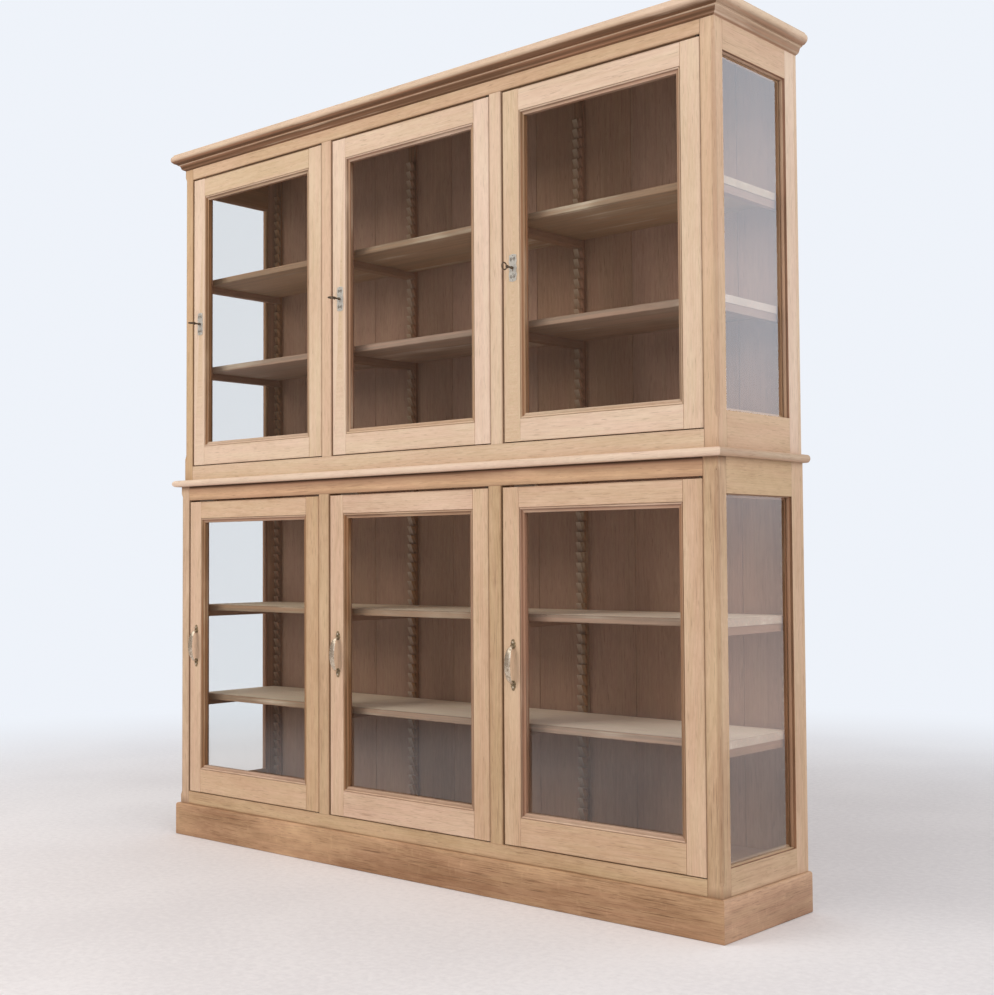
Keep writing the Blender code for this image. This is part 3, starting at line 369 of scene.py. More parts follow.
# %% Timber that knows its place in the log
HEART_DEEP = (0.03, 0.16)  # how far behind a face the log's heart lies, metres
HEART_SIDE = 0.1  # and how far beside its middle
ALONG = 40  # a board is cut anywhere within this of the log's middle
SAME_FACE = 0.00002  # vertices this near a plane lie in it


class Stock:
    """One mesh of several pieces of timber."""

    def __init__(self, name, slot, finish, seed, body="carcass"):
        self.name = name
        self.slot = slot
        self.finish = finish
        self.body = body
        self.mesh = bmesh.new()
        self.grain = self.mesh.verts.layers.float_vector.new("grain")
        self.tone = self.mesh.verts.layers.float.new("tone")
        self.old = self.mesh.verts.layers.float.new("old")
        self.draw = random.Random(seed)

    def claim(self, verts, fibre, wide):
        """Cut these vertices from a log of their own."""
        thin = next(axis for axis in "xyz" if axis not in (fibre, wide))
        order = ["xyz".index(axis) for axis in (fibre, wide, thin)]
        middle = [sum(vert.co[axis] for vert in verts) / len(verts) for axis in order]
        heart = Vector((
            self.draw.uniform(-ALONG, ALONG), self.draw.uniform(-HEART_SIDE, HEART_SIDE),
            self.draw.uniform(*HEART_DEEP) * self.draw.choice((-1, 1)),
        ))
        tone = self.draw.uniform(0, 1)
        for vert in verts:
            place = Vector((vert.co[axis] - at for axis, at in zip(order, middle)))
            vert[self.grain] = place + heart
            vert[self.tone] = tone

    def loft(self, rings, fibre, wide):
        """One piece of timber, skinned over rings."""
        verts = skin(self.mesh, rings)
        self.claim(verts, fibre, wide)
        return verts

    def length(self, outline, origin, along, out, rise, long, fibre=None, wide=None, mitres=(0, 0)):
        """A straight length of one (out, rise) section. A mitre moves an end by its share of out."""
        origin = Vector(origin)
        run, out_way, rise_way = way(along), way(out), way(rise)
        rings = []
        for start, lean in ((0.0, mitres[0]), (long, mitres[1])):
            rings.append([origin + run * (start + lean * d) + out_way * d + rise_way * h for d, h in outline])
        return self.loft(rings, fibre or along[-1], wide or out[-1])

    def plank(self, low, high, fibre, ease=ARRIS, band=BAND):
        """A plank with eased arrises, given its corners."""
        size = {axis: high[i] - low[i] for i, axis in enumerate("xyz")}
        wide, thin = sorted((axis for axis in "xyz" if axis != fibre), key=size.get, reverse=True)
        return self.length(eased(size[wide], size[thin], ease, band), low, fibre, wide, thin, size[fibre])

    def age_and_shade(self, verts, shares):
        """Leave a share of the dark layer, unstripped finish in some places and painted shade in others, on
        each vertex, starting again where the shares run out.
        """
        for vert, share in zip(verts, cycle(shares)):
            vert[self.old] = share

    def leave_finish_and_shade(self, verts, axis, at, share=1.0):
        """Leave the dark layer on the face that lies at this value on an axis; callers use it for unstripped
        finish and for painted shade.
        """
        index = "xyz".index(axis)
        self.age_and_shade([vert for vert in verts if abs(vert.co[index] - at) < SAME_FACE], [share])

    def stain_and_shade_gap(self, verts, axis, at, ease=ARRIS, share=0.4):
        """Leave some unstripped finish and painted shade on the face beside a gap, fading over its arris."""
        self.leave_finish_and_shade(verts, axis, at, share)
        for corner in (at - ease, at + ease):
            self.leave_finish_and_shade(verts, axis, corner, share + 0.1)

    def ready(self, replaces=None, smooth=None):
        """Turn the stock into a piece that rides on its body."""
        bmesh.ops.recalc_face_normals(self.mesh, faces=self.mesh.faces)
        return show(self.name, self.mesh, self.finish, self.body, replaces, smooth)


# %% The finish of a species
RING = 0.0046  # metres between rings
DARK_STAIN_AND_SHADE = (0.16, 0.078, 0.036)  # the old finish where it lies thick, and painted shade in hollows, gaps and undersides
THIN_VARNISH_AND_SHADE = (0.29, 0.139, 0.072)  # and where it wore thin, also used as painted shade
GRIME_AND_SHADE = (0.07, 0.03, 0.01)  # painted shade and grime packed into the corner under the waist nose, where a vertex keeps more than 1


def timber(
    name, pale, dark, ring_share=0.3, pore_share=0.45, blotch=0.3, spread=0.16, rough=0.62, worn=0.0,
):
    """Bare wood. pale and dark are early and late wood; worn is how far grime fills its cracks."""
    wood = Finish(bpy.data.materials.new(name))
    place = wood.node("ShaderNodeAttribute", {"attribute_name": "grain"}, output="Vector")
    tone, old = (
        wood.node("ShaderNodeAttribute", {"attribute_name": kept}, output="Fac") for kept in ("tone", "old")
    )

    # rings round the heart, bent by slow noise; late is the dark end of each
    _, beside, behind = (
        wood.node("ShaderNodeSeparateXYZ", None, {0: place}, output=axis) for axis in "XYZ"
    )
    beside = beside + (wood.noise(place, (1.1, 4.0, 4.0), detail=1.0) - 0.5) * 0.045
    behind = behind + (wood.noise(place, (0.7, 2.5, 2.5), detail=1.0) - 0.5) * 0.11
    heart = wood.math("SQRT", beside * beside + behind * behind)
    fine = wood.noise(place, (5.0, 60.0, 60.0), detail=2.0)
    ring = wood.math("FRACT", heart / RING + fine * 0.9)
    late = wood.step(ring, 0.35, 0.95) * wood.step(1 - ring, 0.0, 0.08)

    # streaks, patches, pores and the flecks of the rays
    streak = wood.noise(place, (1.6, 110.0, 110.0), detail=3.0, roughness=0.6)
    patch = wood.noise(place, (2.6, 9.0, 9.0), detail=3.0, roughness=0.55)
    mottle = wood.noise(place, (24.0, 75.0, 75.0), detail=4.0, roughness=0.65)
    dash = wood.noise(place, (26.0, 620.0, 620.0), detail=1.0)
    pore = wood.step(dash, 0.6, 0.72) * (1 - late * 0.7)
    ray = wood.step(wood.noise(place, (70.0, 200.0, 25.0), detail=1.0), 0.62, 0.75)
    deep = late * ring_share + (streak - 0.5) * 0.45 + (patch - 0.45) * blotch * 2.2 + 0.28 - ray * 0.1
    deep = deep + (mottle - 0.5) * 0.55
    colour = wood.mix(wood.math("MINIMUM", wood.math("MAXIMUM", deep, 0.0), 1.0), pale, dark)
    colour = wood.mix(pore * pore_share, colour, [channel * 0.45 for channel in dark])
    drift = wood.step(wood.noise(place, (4.0, 38.0, 38.0), detail=2.0), 0.38, 0.64)
    colour = wood.mix(1.0, colour, wood.mix(drift, (1.0, 0.97, 0.955), (0.995, 1.0, 0.96)), "MULTIPLY")

    # grime in cracks, old finish where stripping didn't reach together with painted shade in hollows, gaps
    # and undersides, and a tone of each board's own
    crack = wood.noise(place, (8.0, 380.0, 380.0), detail=2.0, roughness=0.6)
    crack = wood.step(crack, 0.57, 0.68) * wood.step(patch, 0.42, 0.6) * worn
    colour = wood.mix(crack, colour, DARK_STAIN_AND_SHADE)
    # kept is the share of the dark layer: old finish in some places, painted shade in others
    kept = old * wood.step(patch * 0.6 + streak * 0.4, 0.22, 0.5)
    colour = wood.mix(kept, colour, wood.mix(wood.step(streak, 0.4, 0.62), DARK_STAIN_AND_SHADE, THIN_VARNISH_AND_SHADE))
    # shares over 1 paint the deep shade and grime under the waist nose
    colour = wood.mix(wood.step(old, 1.0, 1.6), colour, GRIME_AND_SHADE)
    shade = wood.node("ShaderNodeHueSaturation", None, {
        "Hue": 0.5 - (tone - 0.5) * spread * 0.05, "Saturation": 1.0 - (tone - 0.5) * spread * 1.2,
        "Value": (tone - 0.5) * spread + 1.0, "Color": colour,
    })
    height = late * 0.35 + streak * 0.4 - pore * 0.8 - crack * 0.8
    bump = wood.node("ShaderNodeBump", None, {"Strength": 0.25, "Distance": 0.0006, "Height": height})
    wood.fill("Principled BSDF", {
        "Base Color": shade, "Roughness": rough + pore * 0.12 - late * 0.06,
        "Specular IOR Level": 0.35, "Normal": bump,
    })
    return wood.owner


PALE_OAK = timber("pale_oak_bare", (0.74, 0.56, 0.415), (0.52, 0.345, 0.215), ring_share=0.12, worn=0.15)
HONEY_OAK = timber("honey_oak_bare", (0.65, 0.45, 0.297), (0.45, 0.275, 0.152), ring_share=0.12, worn=0.3)
FAWN_OAK = timber(
    "fawn_oak_bare", (0.69, 0.49, 0.34), (0.45, 0.27, 0.155), ring_share=0.14, blotch=0.45, worn=0.3,
)
WARM_OAK = timber(
    "warm_oak_bare", (0.645, 0.455, 0.3), (0.39, 0.235, 0.13), ring_share=0.14, blotch=0.55, worn=0.6,
)
PLINTH_OAK = timber(
    "plinth_oak_scuffed", (0.62, 0.39, 0.225), (0.24, 0.115, 0.052), ring_share=0.14, blotch=0.8, worn=0.8,
)
AMBER_OAK = timber(
    "amber_oak", (0.68, 0.43, 0.25), (0.42, 0.23, 0.115), ring_share=0.14, blotch=0.5, worn=0.4,
)
RED_OAK = timber("red_oak_old_finish", (0.3, 0.16, 0.1), (0.14, 0.065, 0.038), rough=0.5)
SHELF_WOOD = timber(
    "shelf_softwood", (0.93, 0.8, 0.645), (0.7, 0.55, 0.41), ring_share=0.2, pore_share=0.15,
)
# a darker softwood than the shelves
RACK_WOOD = timber("rack_softwood_dusty", (0.5, 0.385, 0.285), (0.27, 0.19, 0.125), pore_share=0.15)
BACK_WOOD = timber("back_softwood", (0.39, 0.24, 0.165), (0.19, 0.1, 0.065), ring_share=0.12, spread=0.07)
TIER_OAK = {"base": ("warm_oak", WARM_OAK), "upper": ("pale_oak", HONEY_OAK)}  # slot and finish
DOOR_OAK = {"base": ("warm_oak", FAWN_OAK), "upper": ("pale_oak", PALE_OAK)}
print("timber finishes:", 10)

# %% [markdown]
# ## Glass
#
# Old window glass is thin, flat and nearly clear: what shows is what it mirrors. The panes are the
# model's own. Their finish mixes a clear shader with a mirror by Fresnel, so they brighten towards a
# grazing view as the end windows do, and lamps reach the shelves behind them without caustics.

# %% Glaze the doors and the ends
GLOSS = 1.8  # how much more than a single face the two faces of a pane mirror

glass = Finish(bpy.data.materials.new("old_window_glass"))
glass.tree.nodes.remove(glass.tree.nodes["Principled BSDF"])
wave = glass.noise(glass.node("ShaderNodeTexCoord", output="Object"), (3.0, 3.0, 3.0), detail=1.0)
bump = glass.node("ShaderNodeBump", None, {"Strength": 0.04, "Distance": 0.01, "Height": wave})
clear = glass.node("ShaderNodeBsdfTransparent", None, {"Color": (0.991, 0.996, 0.994)})
mirror = glass.node("ShaderNodeBsdfGlossy", None, {"Color": (1, 1, 1), "Roughness": 0.02, "Normal": bump})
inner_face = glass.node("ShaderNodeNewGeometry", output="Backfacing")
grazing = glass.node("ShaderNodeFresnel", None, {"IOR": 1.5}) * (1 - inner_face) * GLOSS
both = glass.node("ShaderNodeMixShader", None, {0: grazing, 1: clear, 2: mirror})
glass.fill("Material Output", {"Surface": both})

panes = [node for node in frame["nodes"] if node.endswith("_glass")]
for node in panes:
    frame["nodes"][node].data.materials[0] = glass.owner
print("panes:", len(panes))

# %% [markdown]
# ## The carcasses
#
# A carcass is an honest frame: posts and rails with tenons, glued flush, so the only lines that show
# are hairline joints and a change of grain. Each member is therefore its own length of timber with its
# own direction, and neighbours stop a hair apart. Sizes that several steps share are read from the
# model or written down here once.

# %% Sizes shared with the model
HAIR = 0.00015  # half of a glued joint's line
JOINT = 0.0003  # a dry joint's line
POST_WIDE = {"base": 0.041, "upper": 0.04}
POST_DEEP = 0.037
REAR_POST_DEEP = 0.044
REAR_POST_WIDE = 0.028
RAIL_THICK = 0.026
BACK_THICK = 0.012
GLASS_EDGE = 0.001  # pane inside its rebate
HEAD_GAP, FOOT_GAP = 0.006, 0.003  # above and below a door
BASE_LOW, BASE_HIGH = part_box("base_right_end_frame")
UPPER_LOW, UPPER_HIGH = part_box("upper_right_end_frame")
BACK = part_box("base_back")[1].y
FLOOR_TOP = {"base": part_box("base_floor")[1].z, "upper": UPPER_LOW.z}
MULLIONS = {tier: [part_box(f"{tier}_mullion_{number}") for number in (1, 2)] for tier in TIERS}
MIDDLES = {tier: [(low.x + high.x) / 2 for low, high in boxes] for tier, boxes in MULLIONS.items()}


def window(node):
    """The opening that a pane sits in, from the pane's own box."""
    low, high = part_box(node)
    edge = Vector((GLASS_EDGE, GLASS_EDGE, GLASS_EDGE))
    return low - edge, high + edge


print("middles of the mullions:", [round(x, 3) for tier in TIERS for x in MIDDLES[tier]])

# %% [markdown]
# ## Saw-tooth racks
#
# A rack is a strip of softwood with notches, and battens rest in them, so that shelves can be moved.
# Arraying a notch or cutting them one by one would do, but the outline is a plain list of points, so
# a loop writes it and one extrusion makes the strip. Old finish stays in the notches, which no
# scraper reaches, and the same dark paints their shade, so that the bare tips look lit.

# %% Racks
RACK_PITCH = 0.0288
RACK_ROOT, RACK_TIP = 0.008, 0.02  # how far the bottom and the tip of a notch stand out
RACK_HEAD = 0.012  # plain wood above the last tooth
MIDDLE_RACK, END_RACK = 0.03, 0.022  # widths
FIRST_TOOTH = {"base": 0.0412, "upper": 0.0471}
RACK_FINISH_AND_SHADE = 0.85  # old finish and painted shade everywhere but the tips of the teeth, which stay bare and so look lit


def add_rack(stock, tier, left, right, face, out, low, high, shadow_strip=0.0):
    """A saw-tooth rack against the plane y = face. A dark strip along its right cheek is painted shade and
    shadow.
    """
    first = FIRST_TOOTH[tier]
    outline = [(0.0, 0.0), (RACK_ROOT, 0.0), (RACK_ROOT, first - RACK_PITCH)]
    for tooth in range(int((high - low - first - RACK_HEAD) / RACK_PITCH)):
        ledge = first + tooth * RACK_PITCH
        outline += [(RACK_TIP - 0.0008, ledge - 0.0015), (RACK_TIP - 0.0012, ledge), (RACK_ROOT, ledge)]
    outline += [(RACK_ROOT, high - low), (0.0, high - low)]
    middle = right - shadow_strip
    verts = stock.length(outline, (left, face, low), "x", out, "z", middle - left, fibre="z", wide="x")
    for vert in verts:
        is_tip = abs(vert.co.y - face) > RACK_ROOT + 0.001
        vert[stock.old] = 0.0 if is_tip and (shadow_strip or vert.co.x < middle - 0.0001) else RACK_FINISH_AND_SHADE
    # the strip paints the shade of the rack's side and the shadow it casts on the back
    if shadow_strip:
        verts = stock.length(outline, (middle, face, low), "x", out, "z", shadow_strip, fibre="z", wide="x")
        stock.age_and_shade(verts, [1.0])


# %% [markdown]
# ## End frames
#
# An end frame is two posts and two rails round a pane that sits between mitred beads. The front
# post's outer arris carries a chamfer that stops short of both ends. A bevel would run right through,
# so the post is a loft through outlines whose corner moves in and out again. Beads and racks are nailed
# on, so they are pieces of their own.

# %% Front posts
CHAMFER = 0.0065
CHAMFER_ENDS = {"base": (0.025, 0.025), "upper": (0.07, 0.057)}
CHAMFER_RUN_OUT = 0.012
CHAMFER_OLD = 0.3
POST_EASE = 0.0007
OLD_FOOT = {"base": (0.55, 0.06), "upper": (0.15, 0.04)}  # old finish at a post's foot, and its height
OLD_HEAD = {"base": (0.85, 0.07), "upper": (0.3, 0.06)}


def add_post(stock, tier, side, low, high):
    """A front post with a stopped chamfer down its outer arris."""
    foot, head = CHAMFER_ENDS[tier]
    outer, inner = (high.x, low.x) if side > 0 else (low.x, high.x)
    ease = POST_EASE
    stations = {
        low.z: ease, low.z + foot: ease, low.z + foot + CHAMFER_RUN_OUT: CHAMFER,
        high.z - head - CHAMFER_RUN_OUT: CHAMFER, high.z - head: ease, high.z: ease,
    }
    for height in (low.z + OLD_FOOT[tier][1], high.z - OLD_HEAD[tier][1]):
        over = min(height - low.z - foot, high.z - head - height) / CHAMFER_RUN_OUT
        stations[height] = ease + (CHAMFER - ease) * max(0.0, min(1.0, over))
    rings = []
    for height, cut in sorted(stations.items()):
        rings.append([(x, y, height) for x, y in (
            (inner + side * ease, low.y), (inner + side * BAND, low.y), (outer - side * (cut + BAND), low.y),
            (outer - side * cut, low.y), (outer, low.y + cut), (outer, low.y + cut + BAND),
            (outer, high.y - ease), (outer - side * ease, high.y), (inner + side * ease, high.y),
            (inner, high.y - ease), (inner, low.y + ease),
        )])
    verts = stock.loft(rings, "z", "x")
    for corner in (3, 4):  # the chamfer's two edges
        stock.age_and_shade(verts[corner::len(rings[0])], [CHAMFER_OLD])
    stock.leave_finish_and_shade(verts, "z", low.z, OLD_FOOT[tier][0])
    stock.leave_finish_and_shade(verts, "z", high.z, OLD_HEAD[tier][0])
    return verts


# %% End frames
END_BEAD = 0.0022
END_BEAD_SINK = 0.0075  # from the outer face to the bead
INNER_BEAD = 0.008
BEAD_WORN = {"base": 1.0, "upper": 0.7}


def dress_end(tier, side, seed):
    """An end frame: front post, rear post, two rails, the beads round its pane and two racks."""
    name = f"{tier}_{'left' if side < 0 else 'right'}_end"
    slot, oak = TIER_OAK[tier]
    low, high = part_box(f"{name}_frame")
    pane_low, pane_high = window(f"{name}_glass")
    outer = high.x if side > 0 else low.x
    post_in = outer - side * POST_WIDE[tier]
    rear_in = outer - side * REAR_POST_WIDE
    rail_in = outer - side * RAIL_THICK
    front, rear = low.y, high.y
    near, far = front + POST_DEEP, rear - REAR_POST_DEEP

    wood = Stock(f"{name}_woodwork", slot, oak, seed)
    post_low = Vector((min(outer, post_in), front, low.z))
    post_high = Vector((max(outer, post_in), near, high.z))
    verts = add_post(wood, tier, side, post_low, post_high)
    wood.leave_finish_and_shade(verts, "y", near)
    wood.stain_and_shade_gap(verts, "x", post_in, POST_EASE)
    stile = Stock(f"{name}_rear_post", slot, DOOR_OAK[tier][1], seed + 3)
    verts = stile.plank((min(outer, rear_in), far, low.z), (max(outer, rear_in), rear, high.z), "z")
    stile.leave_finish_and_shade(verts, "y", far)
    # painted shade: the rear post's inner face is darkened, inside the cabinet
    stile.leave_finish_and_shade(verts, "x", rear_in, 0.8)
    stile.ready()
    rail_x = sorted((outer, rail_in))
    for bottom, top, edge in ((low.z, pane_low.z, pane_low.z), (pane_high.z, high.z, pane_high.z)):
        verts = wood.plank((rail_x[0], near + HAIR, bottom), (rail_x[1], far - HAIR, top), "y")
        wood.leave_finish_and_shade(verts, "z", edge)
        # painted shade: the rails' inner faces are darkened, inside the cabinet
        wood.leave_finish_and_shade(verts, "x", rail_in, 0.75)
    wood.ready(f"{name}_frame")

    beads = Stock(f"{name}_beads", slot, oak, seed + 1)
    glass_out, glass_in = (pane_high.x, pane_low.x) if side > 0 else (pane_low.x, pane_high.x)
    depth = abs(outer - (glass_out - side * GLASS_EDGE))
    back = abs(outer - (glass_in + side * GLASS_EDGE))
    outside = [
        (0.0, END_BEAD_SINK), (0.0012, END_BEAD_SINK + 0.0002), (END_BEAD, END_BEAD_SINK + 0.0036),
        (END_BEAD, depth), (0.0, depth),
    ]
    inside = [
        (0.0, back), (INNER_BEAD, back), (INNER_BEAD, RAIL_THICK - 0.001), (INNER_BEAD - 0.001, RAIL_THICK),
        (0.0, RAIL_THICK),
    ]
    y0, y1, z0, z1 = pane_low.y, pane_high.y, pane_low.z, pane_high.z
    # shares by side paint shade as well as old finish: the far and top beads darker, the near and bottom
    # beads lighter, the inner ring darker still
    for outline, more in ((outside, 0.0), (inside, 0.25)):
        for start, along, out, long, share in (
            ((outer, y0, z0), "z", "y", z1 - z0, 0.1), ((outer, y1, z0), "z", "-y", z1 - z0, 0.8),
            ((outer, y0, z0), "y", "z", y1 - y0, 0.2), ((outer, y0, z1), "y", "-z", y1 - y0, 0.6),
        ):
            verts = beads.length(outline, start, along, out, "-x" if side > 0 else "x", long, mitres=(1, -1))
            beads.age_and_shade(verts, [(share + more) * BEAD_WORN[tier]])
    beads.ready()

    racks = Stock(f"{name}_racks", slot, RACK_WOOD, seed + 2)
    rack_x = sorted((rear_in, rear_in - side * END_RACK))
    floor_z = FLOOR_TOP[tier]
    add_rack(racks, tier, *rack_x, near, "y", floor_z, high.z)
    add_rack(racks, tier, *rack_x, rear, "-y", floor_z, high.z)
    racks.ready()


for tier_number, tier in enumerate(TIERS):
    for side_number, side in enumerate((-1, 1)):
        dress_end(tier, side, 100 + 20 * tier_number + 10 * side_number)
print("end frames:", 4)

# %% [markdown]
# ## Holes, slots and uprights
#
# Pins, bolts and keys need holes, and the uprights between the doors need a slot for the bolt. Each is
# an exact boolean with a plain box or cylinder that starts and ends outside the wood, because faces
# that touch confuse a boolean. The result is kept as the mesh, so no modifier waits to be worked out.

# %% Cutting tools
def box_mesh(low, high, ease=0.0):
    """A box between two corners, with bevelled edges where ease is given."""
    mesh = bmesh.new()
    low, high = Vector(low), Vector(high)
    matrix = Matrix.Translation((low + high) / 2) @ Matrix.Diagonal((*(high - low), 1.0))
    bmesh.ops.create_cube(mesh, size=1.0, matrix=matrix)
    if ease:
        bmesh.ops.bevel(mesh, geom=mesh.edges[:], offset=ease, segments=2, affect="EDGES")
    return mesh


def rod_mesh(place, radius, depth, direction):
    """A cylinder that runs from a point along an axis."""
    mesh = bmesh.new()
    turn = Vector((0, 0, 1)).rotation_difference(AXES[direction]).to_matrix().to_4x4()
    matrix = Matrix.Translation(Vector(place) + AXES[direction] * depth / 2) @ turn
    bmesh.ops.create_cone(
        mesh, cap_ends=True, segments=16, radius1=radius, radius2=radius, depth=depth, matrix=matrix,
    )
    return mesh


def carve(piece, meshes):
    """Cut a piece with some solids, and keep the result as its mesh."""
    cutters = [placed("cutter", built(mesh, "cutter")) for mesh in meshes]
    for cutter in cutters:
        cut = piece.modifiers.new("cut", "BOOLEAN")
        cut.operation = "DIFFERENCE"
        cut.solver = "EXACT"
        cut.object = cutter
    graph = bpy.context.evaluated_depsgraph_get()
    data = bpy.data.meshes.new_from_object(piece.evaluated_get(graph), depsgraph=graph)
    piece.modifiers.clear()
    piece.data = data
    for cutter in cutters:
        bpy.data.objects.remove(cutter, do_unlink=True)


def bolt_way(bay, start, end, slack):
    """What cuts a way for a door's bolt, from start to end on x, with some slack round it."""
    tip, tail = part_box(f"upper_{bay}_door_bolt")
    return box_mesh((start, tip.y - slack, tip.z - slack), (end, tail.y + slack, tail.z + slack))


def keep(piece, bay, edge):
    """Cut the slot that a door's bolt slides into; edge is the face on the left of its bay."""
    carve(piece, [bolt_way(bay, edge - 0.008, edge + 0.002, 0.001)])


print("cutting tools:", 2)

# %% Uprights between the doors
UPRIGHT = {"base": 0.044, "upper": 0.042}
for tier_number, tier in enumerate(TIERS):
    slot, oak = TIER_OAK[tier]
    for number in (1, 2):
        low, high = MULLIONS[tier][number - 1]
        middle = MIDDLES[tier][number - 1]
        door_low, door_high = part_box(f"{tier}_{BAYS[number]}_door_frame")
        seed = 200 + 20 * tier_number + number
        pale = (tier, number) == ("upper", 2)
        wood = Stock(f"{tier}_upright_{number}", slot, PALE_OAK if pale else oak, seed)
        half = UPRIGHT[tier] / 2
        top = door_high.z + HEAD_GAP - HAIR
        foot = door_low.z - FOOT_GAP + HAIR
        verts = wood.plank((middle - half, low.y, foot), (middle + half, low.y + POST_DEEP, top), "z")
        for edge in (middle - half, middle + half):
            wood.stain_and_shade_gap(verts, "x", edge)
        piece = wood.ready(f"{tier}_mullion_{number}")
        if tier == "upper":
            keep(piece, BAYS[number], middle + half)
        rack = Stock(f"{tier}_upright_rack_{number}", slot, RACK_WOOD, seed + 5)
        half = MIDDLE_RACK / 2
        add_rack(rack, tier, middle - half, middle + half, low.y + POST_DEEP + HAIR, "y", low.z, high.z)
        rack.ready()
left_end = bpy.data.objects["upper_left_end_woodwork"]
keep(left_end, "left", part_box("upper_left_end_frame")[0].x + POST_WIDE["upper"])
print("uprights:", 4)

# %% [markdown]
# ## Metal, and the rails it goes into
#
# Pins and screws come off a lathe, so a profile spun about an axis is all they need. One finish makes
# every metal: noise picks where patina has grown, and there it gets darker, rougher and less
# metallic together. The rails carry the doors. A pin stands up from the lower rail, another hangs from
# the upper one, and a block behind the upper rail stops the door.

# %% Turned metal and its finishes
def turned(points, sides, place=Matrix()):
    """A mesh turned about Z from (radius, height) points that run from the axis to the axis."""
    mesh = bmesh.new()
    verts = [mesh.verts.new((radius, 0.0, height)) for radius, height in points]
    edges = [mesh.edges.new(pair) for pair in zip(verts, verts[1:])]
    bmesh.ops.spin(
        mesh, geom=verts + edges, cent=(0, 0, 0), axis=(0, 0, 1), angle=math.tau, steps=sides, use_merge=True,
    )
    bmesh.ops.remove_doubles(mesh, verts=mesh.verts, dist=0.00002)
    bmesh.ops.recalc_face_normals(mesh, faces=mesh.faces)
    bmesh.ops.transform(mesh, matrix=place, verts=mesh.verts)
    return built(mesh, "turned")


def gathered(meshes):
    """One bmesh of several meshes."""
    mesh = bmesh.new()
    for data in meshes:
        mesh.from_mesh(data)
    return mesh


def metal(name, colour, rough, patina, share, bright):
    """Worn metal: bare where hands rub, patina in the hollows that noise picks."""
    finish = Finish(bpy.data.materials.new(name))
    spot = finish.node("ShaderNodeTexCoord", output="Object")
    cloud = finish.noise(spot, (120.0, 120.0, 120.0), detail=4.0, roughness=0.65)
    scratch = finish.noise(spot, (900.0, 900.0, 260.0), detail=2.0)
    dull = finish.step(cloud * 0.75 + scratch * 0.25, 0.5 - share, 0.66)
    bump = finish.node("ShaderNodeBump", None, {"Strength": 0.3, "Distance": 0.0003, "Height": cloud})
    finish.fill("Principled BSDF", {
        "Base Color": finish.mix(dull, colour, patina), "Roughness": dull * 0.3 + rough,
        "Metallic": bright - dull * bright * 0.6, "Normal": bump,
    })
    return finish.owner


BRASS = metal("worn_cast_brass", (0.66, 0.56, 0.44), 0.24, (0.27, 0.195, 0.125), 0.05, 0.75)
DARK_BRASS = metal("darkened_brass", (0.3, 0.22, 0.12), 0.38, (0.085, 0.055, 0.025), 0.12, 0.5)
NICKEL = metal("dull_nickel", (0.6, 0.565, 0.5), 0.36, (0.36, 0.325, 0.27), 0.0, 0.35)
IRON = metal("dark_iron", (0.135, 0.095, 0.06), 0.42, (0.055, 0.038, 0.024), 0.05, 0.6)
STEEL = metal("drawn_steel", (0.46, 0.46, 0.47), 0.28, (0.22, 0.2, 0.18), 0.0, 0.9)
print("metal finishes:", 5)

# %% Front rails with their pins and stops
STOP = Vector((0.07, 0.0137, 0.034))  # length, thickness and height of a door stop
STOP_DROP = 0.014  # how far it hangs below the rail
STOP_IN = 0.018  # from the door's left edge
WAIST_SHADE_BAND = 0.013  # painted shade and grime below the waist moulding reach this far down
BOTTOM_RAIL_OAK = {"base": WARM_OAK, "upper": PALE_OAK}
TOP_RAIL_OAK = {"base": AMBER_OAK, "upper": FAWN_OAK}


def pin(long, washer):
    """The profile of a pivot pin with its washer."""
    tip = [(0.0, long), (0.0022, long), (0.003, long - 0.0013), (0.003, washer)]
    return [*tip, (0.0045, washer), (0.0045, 0.0), (0.0, 0.0)]


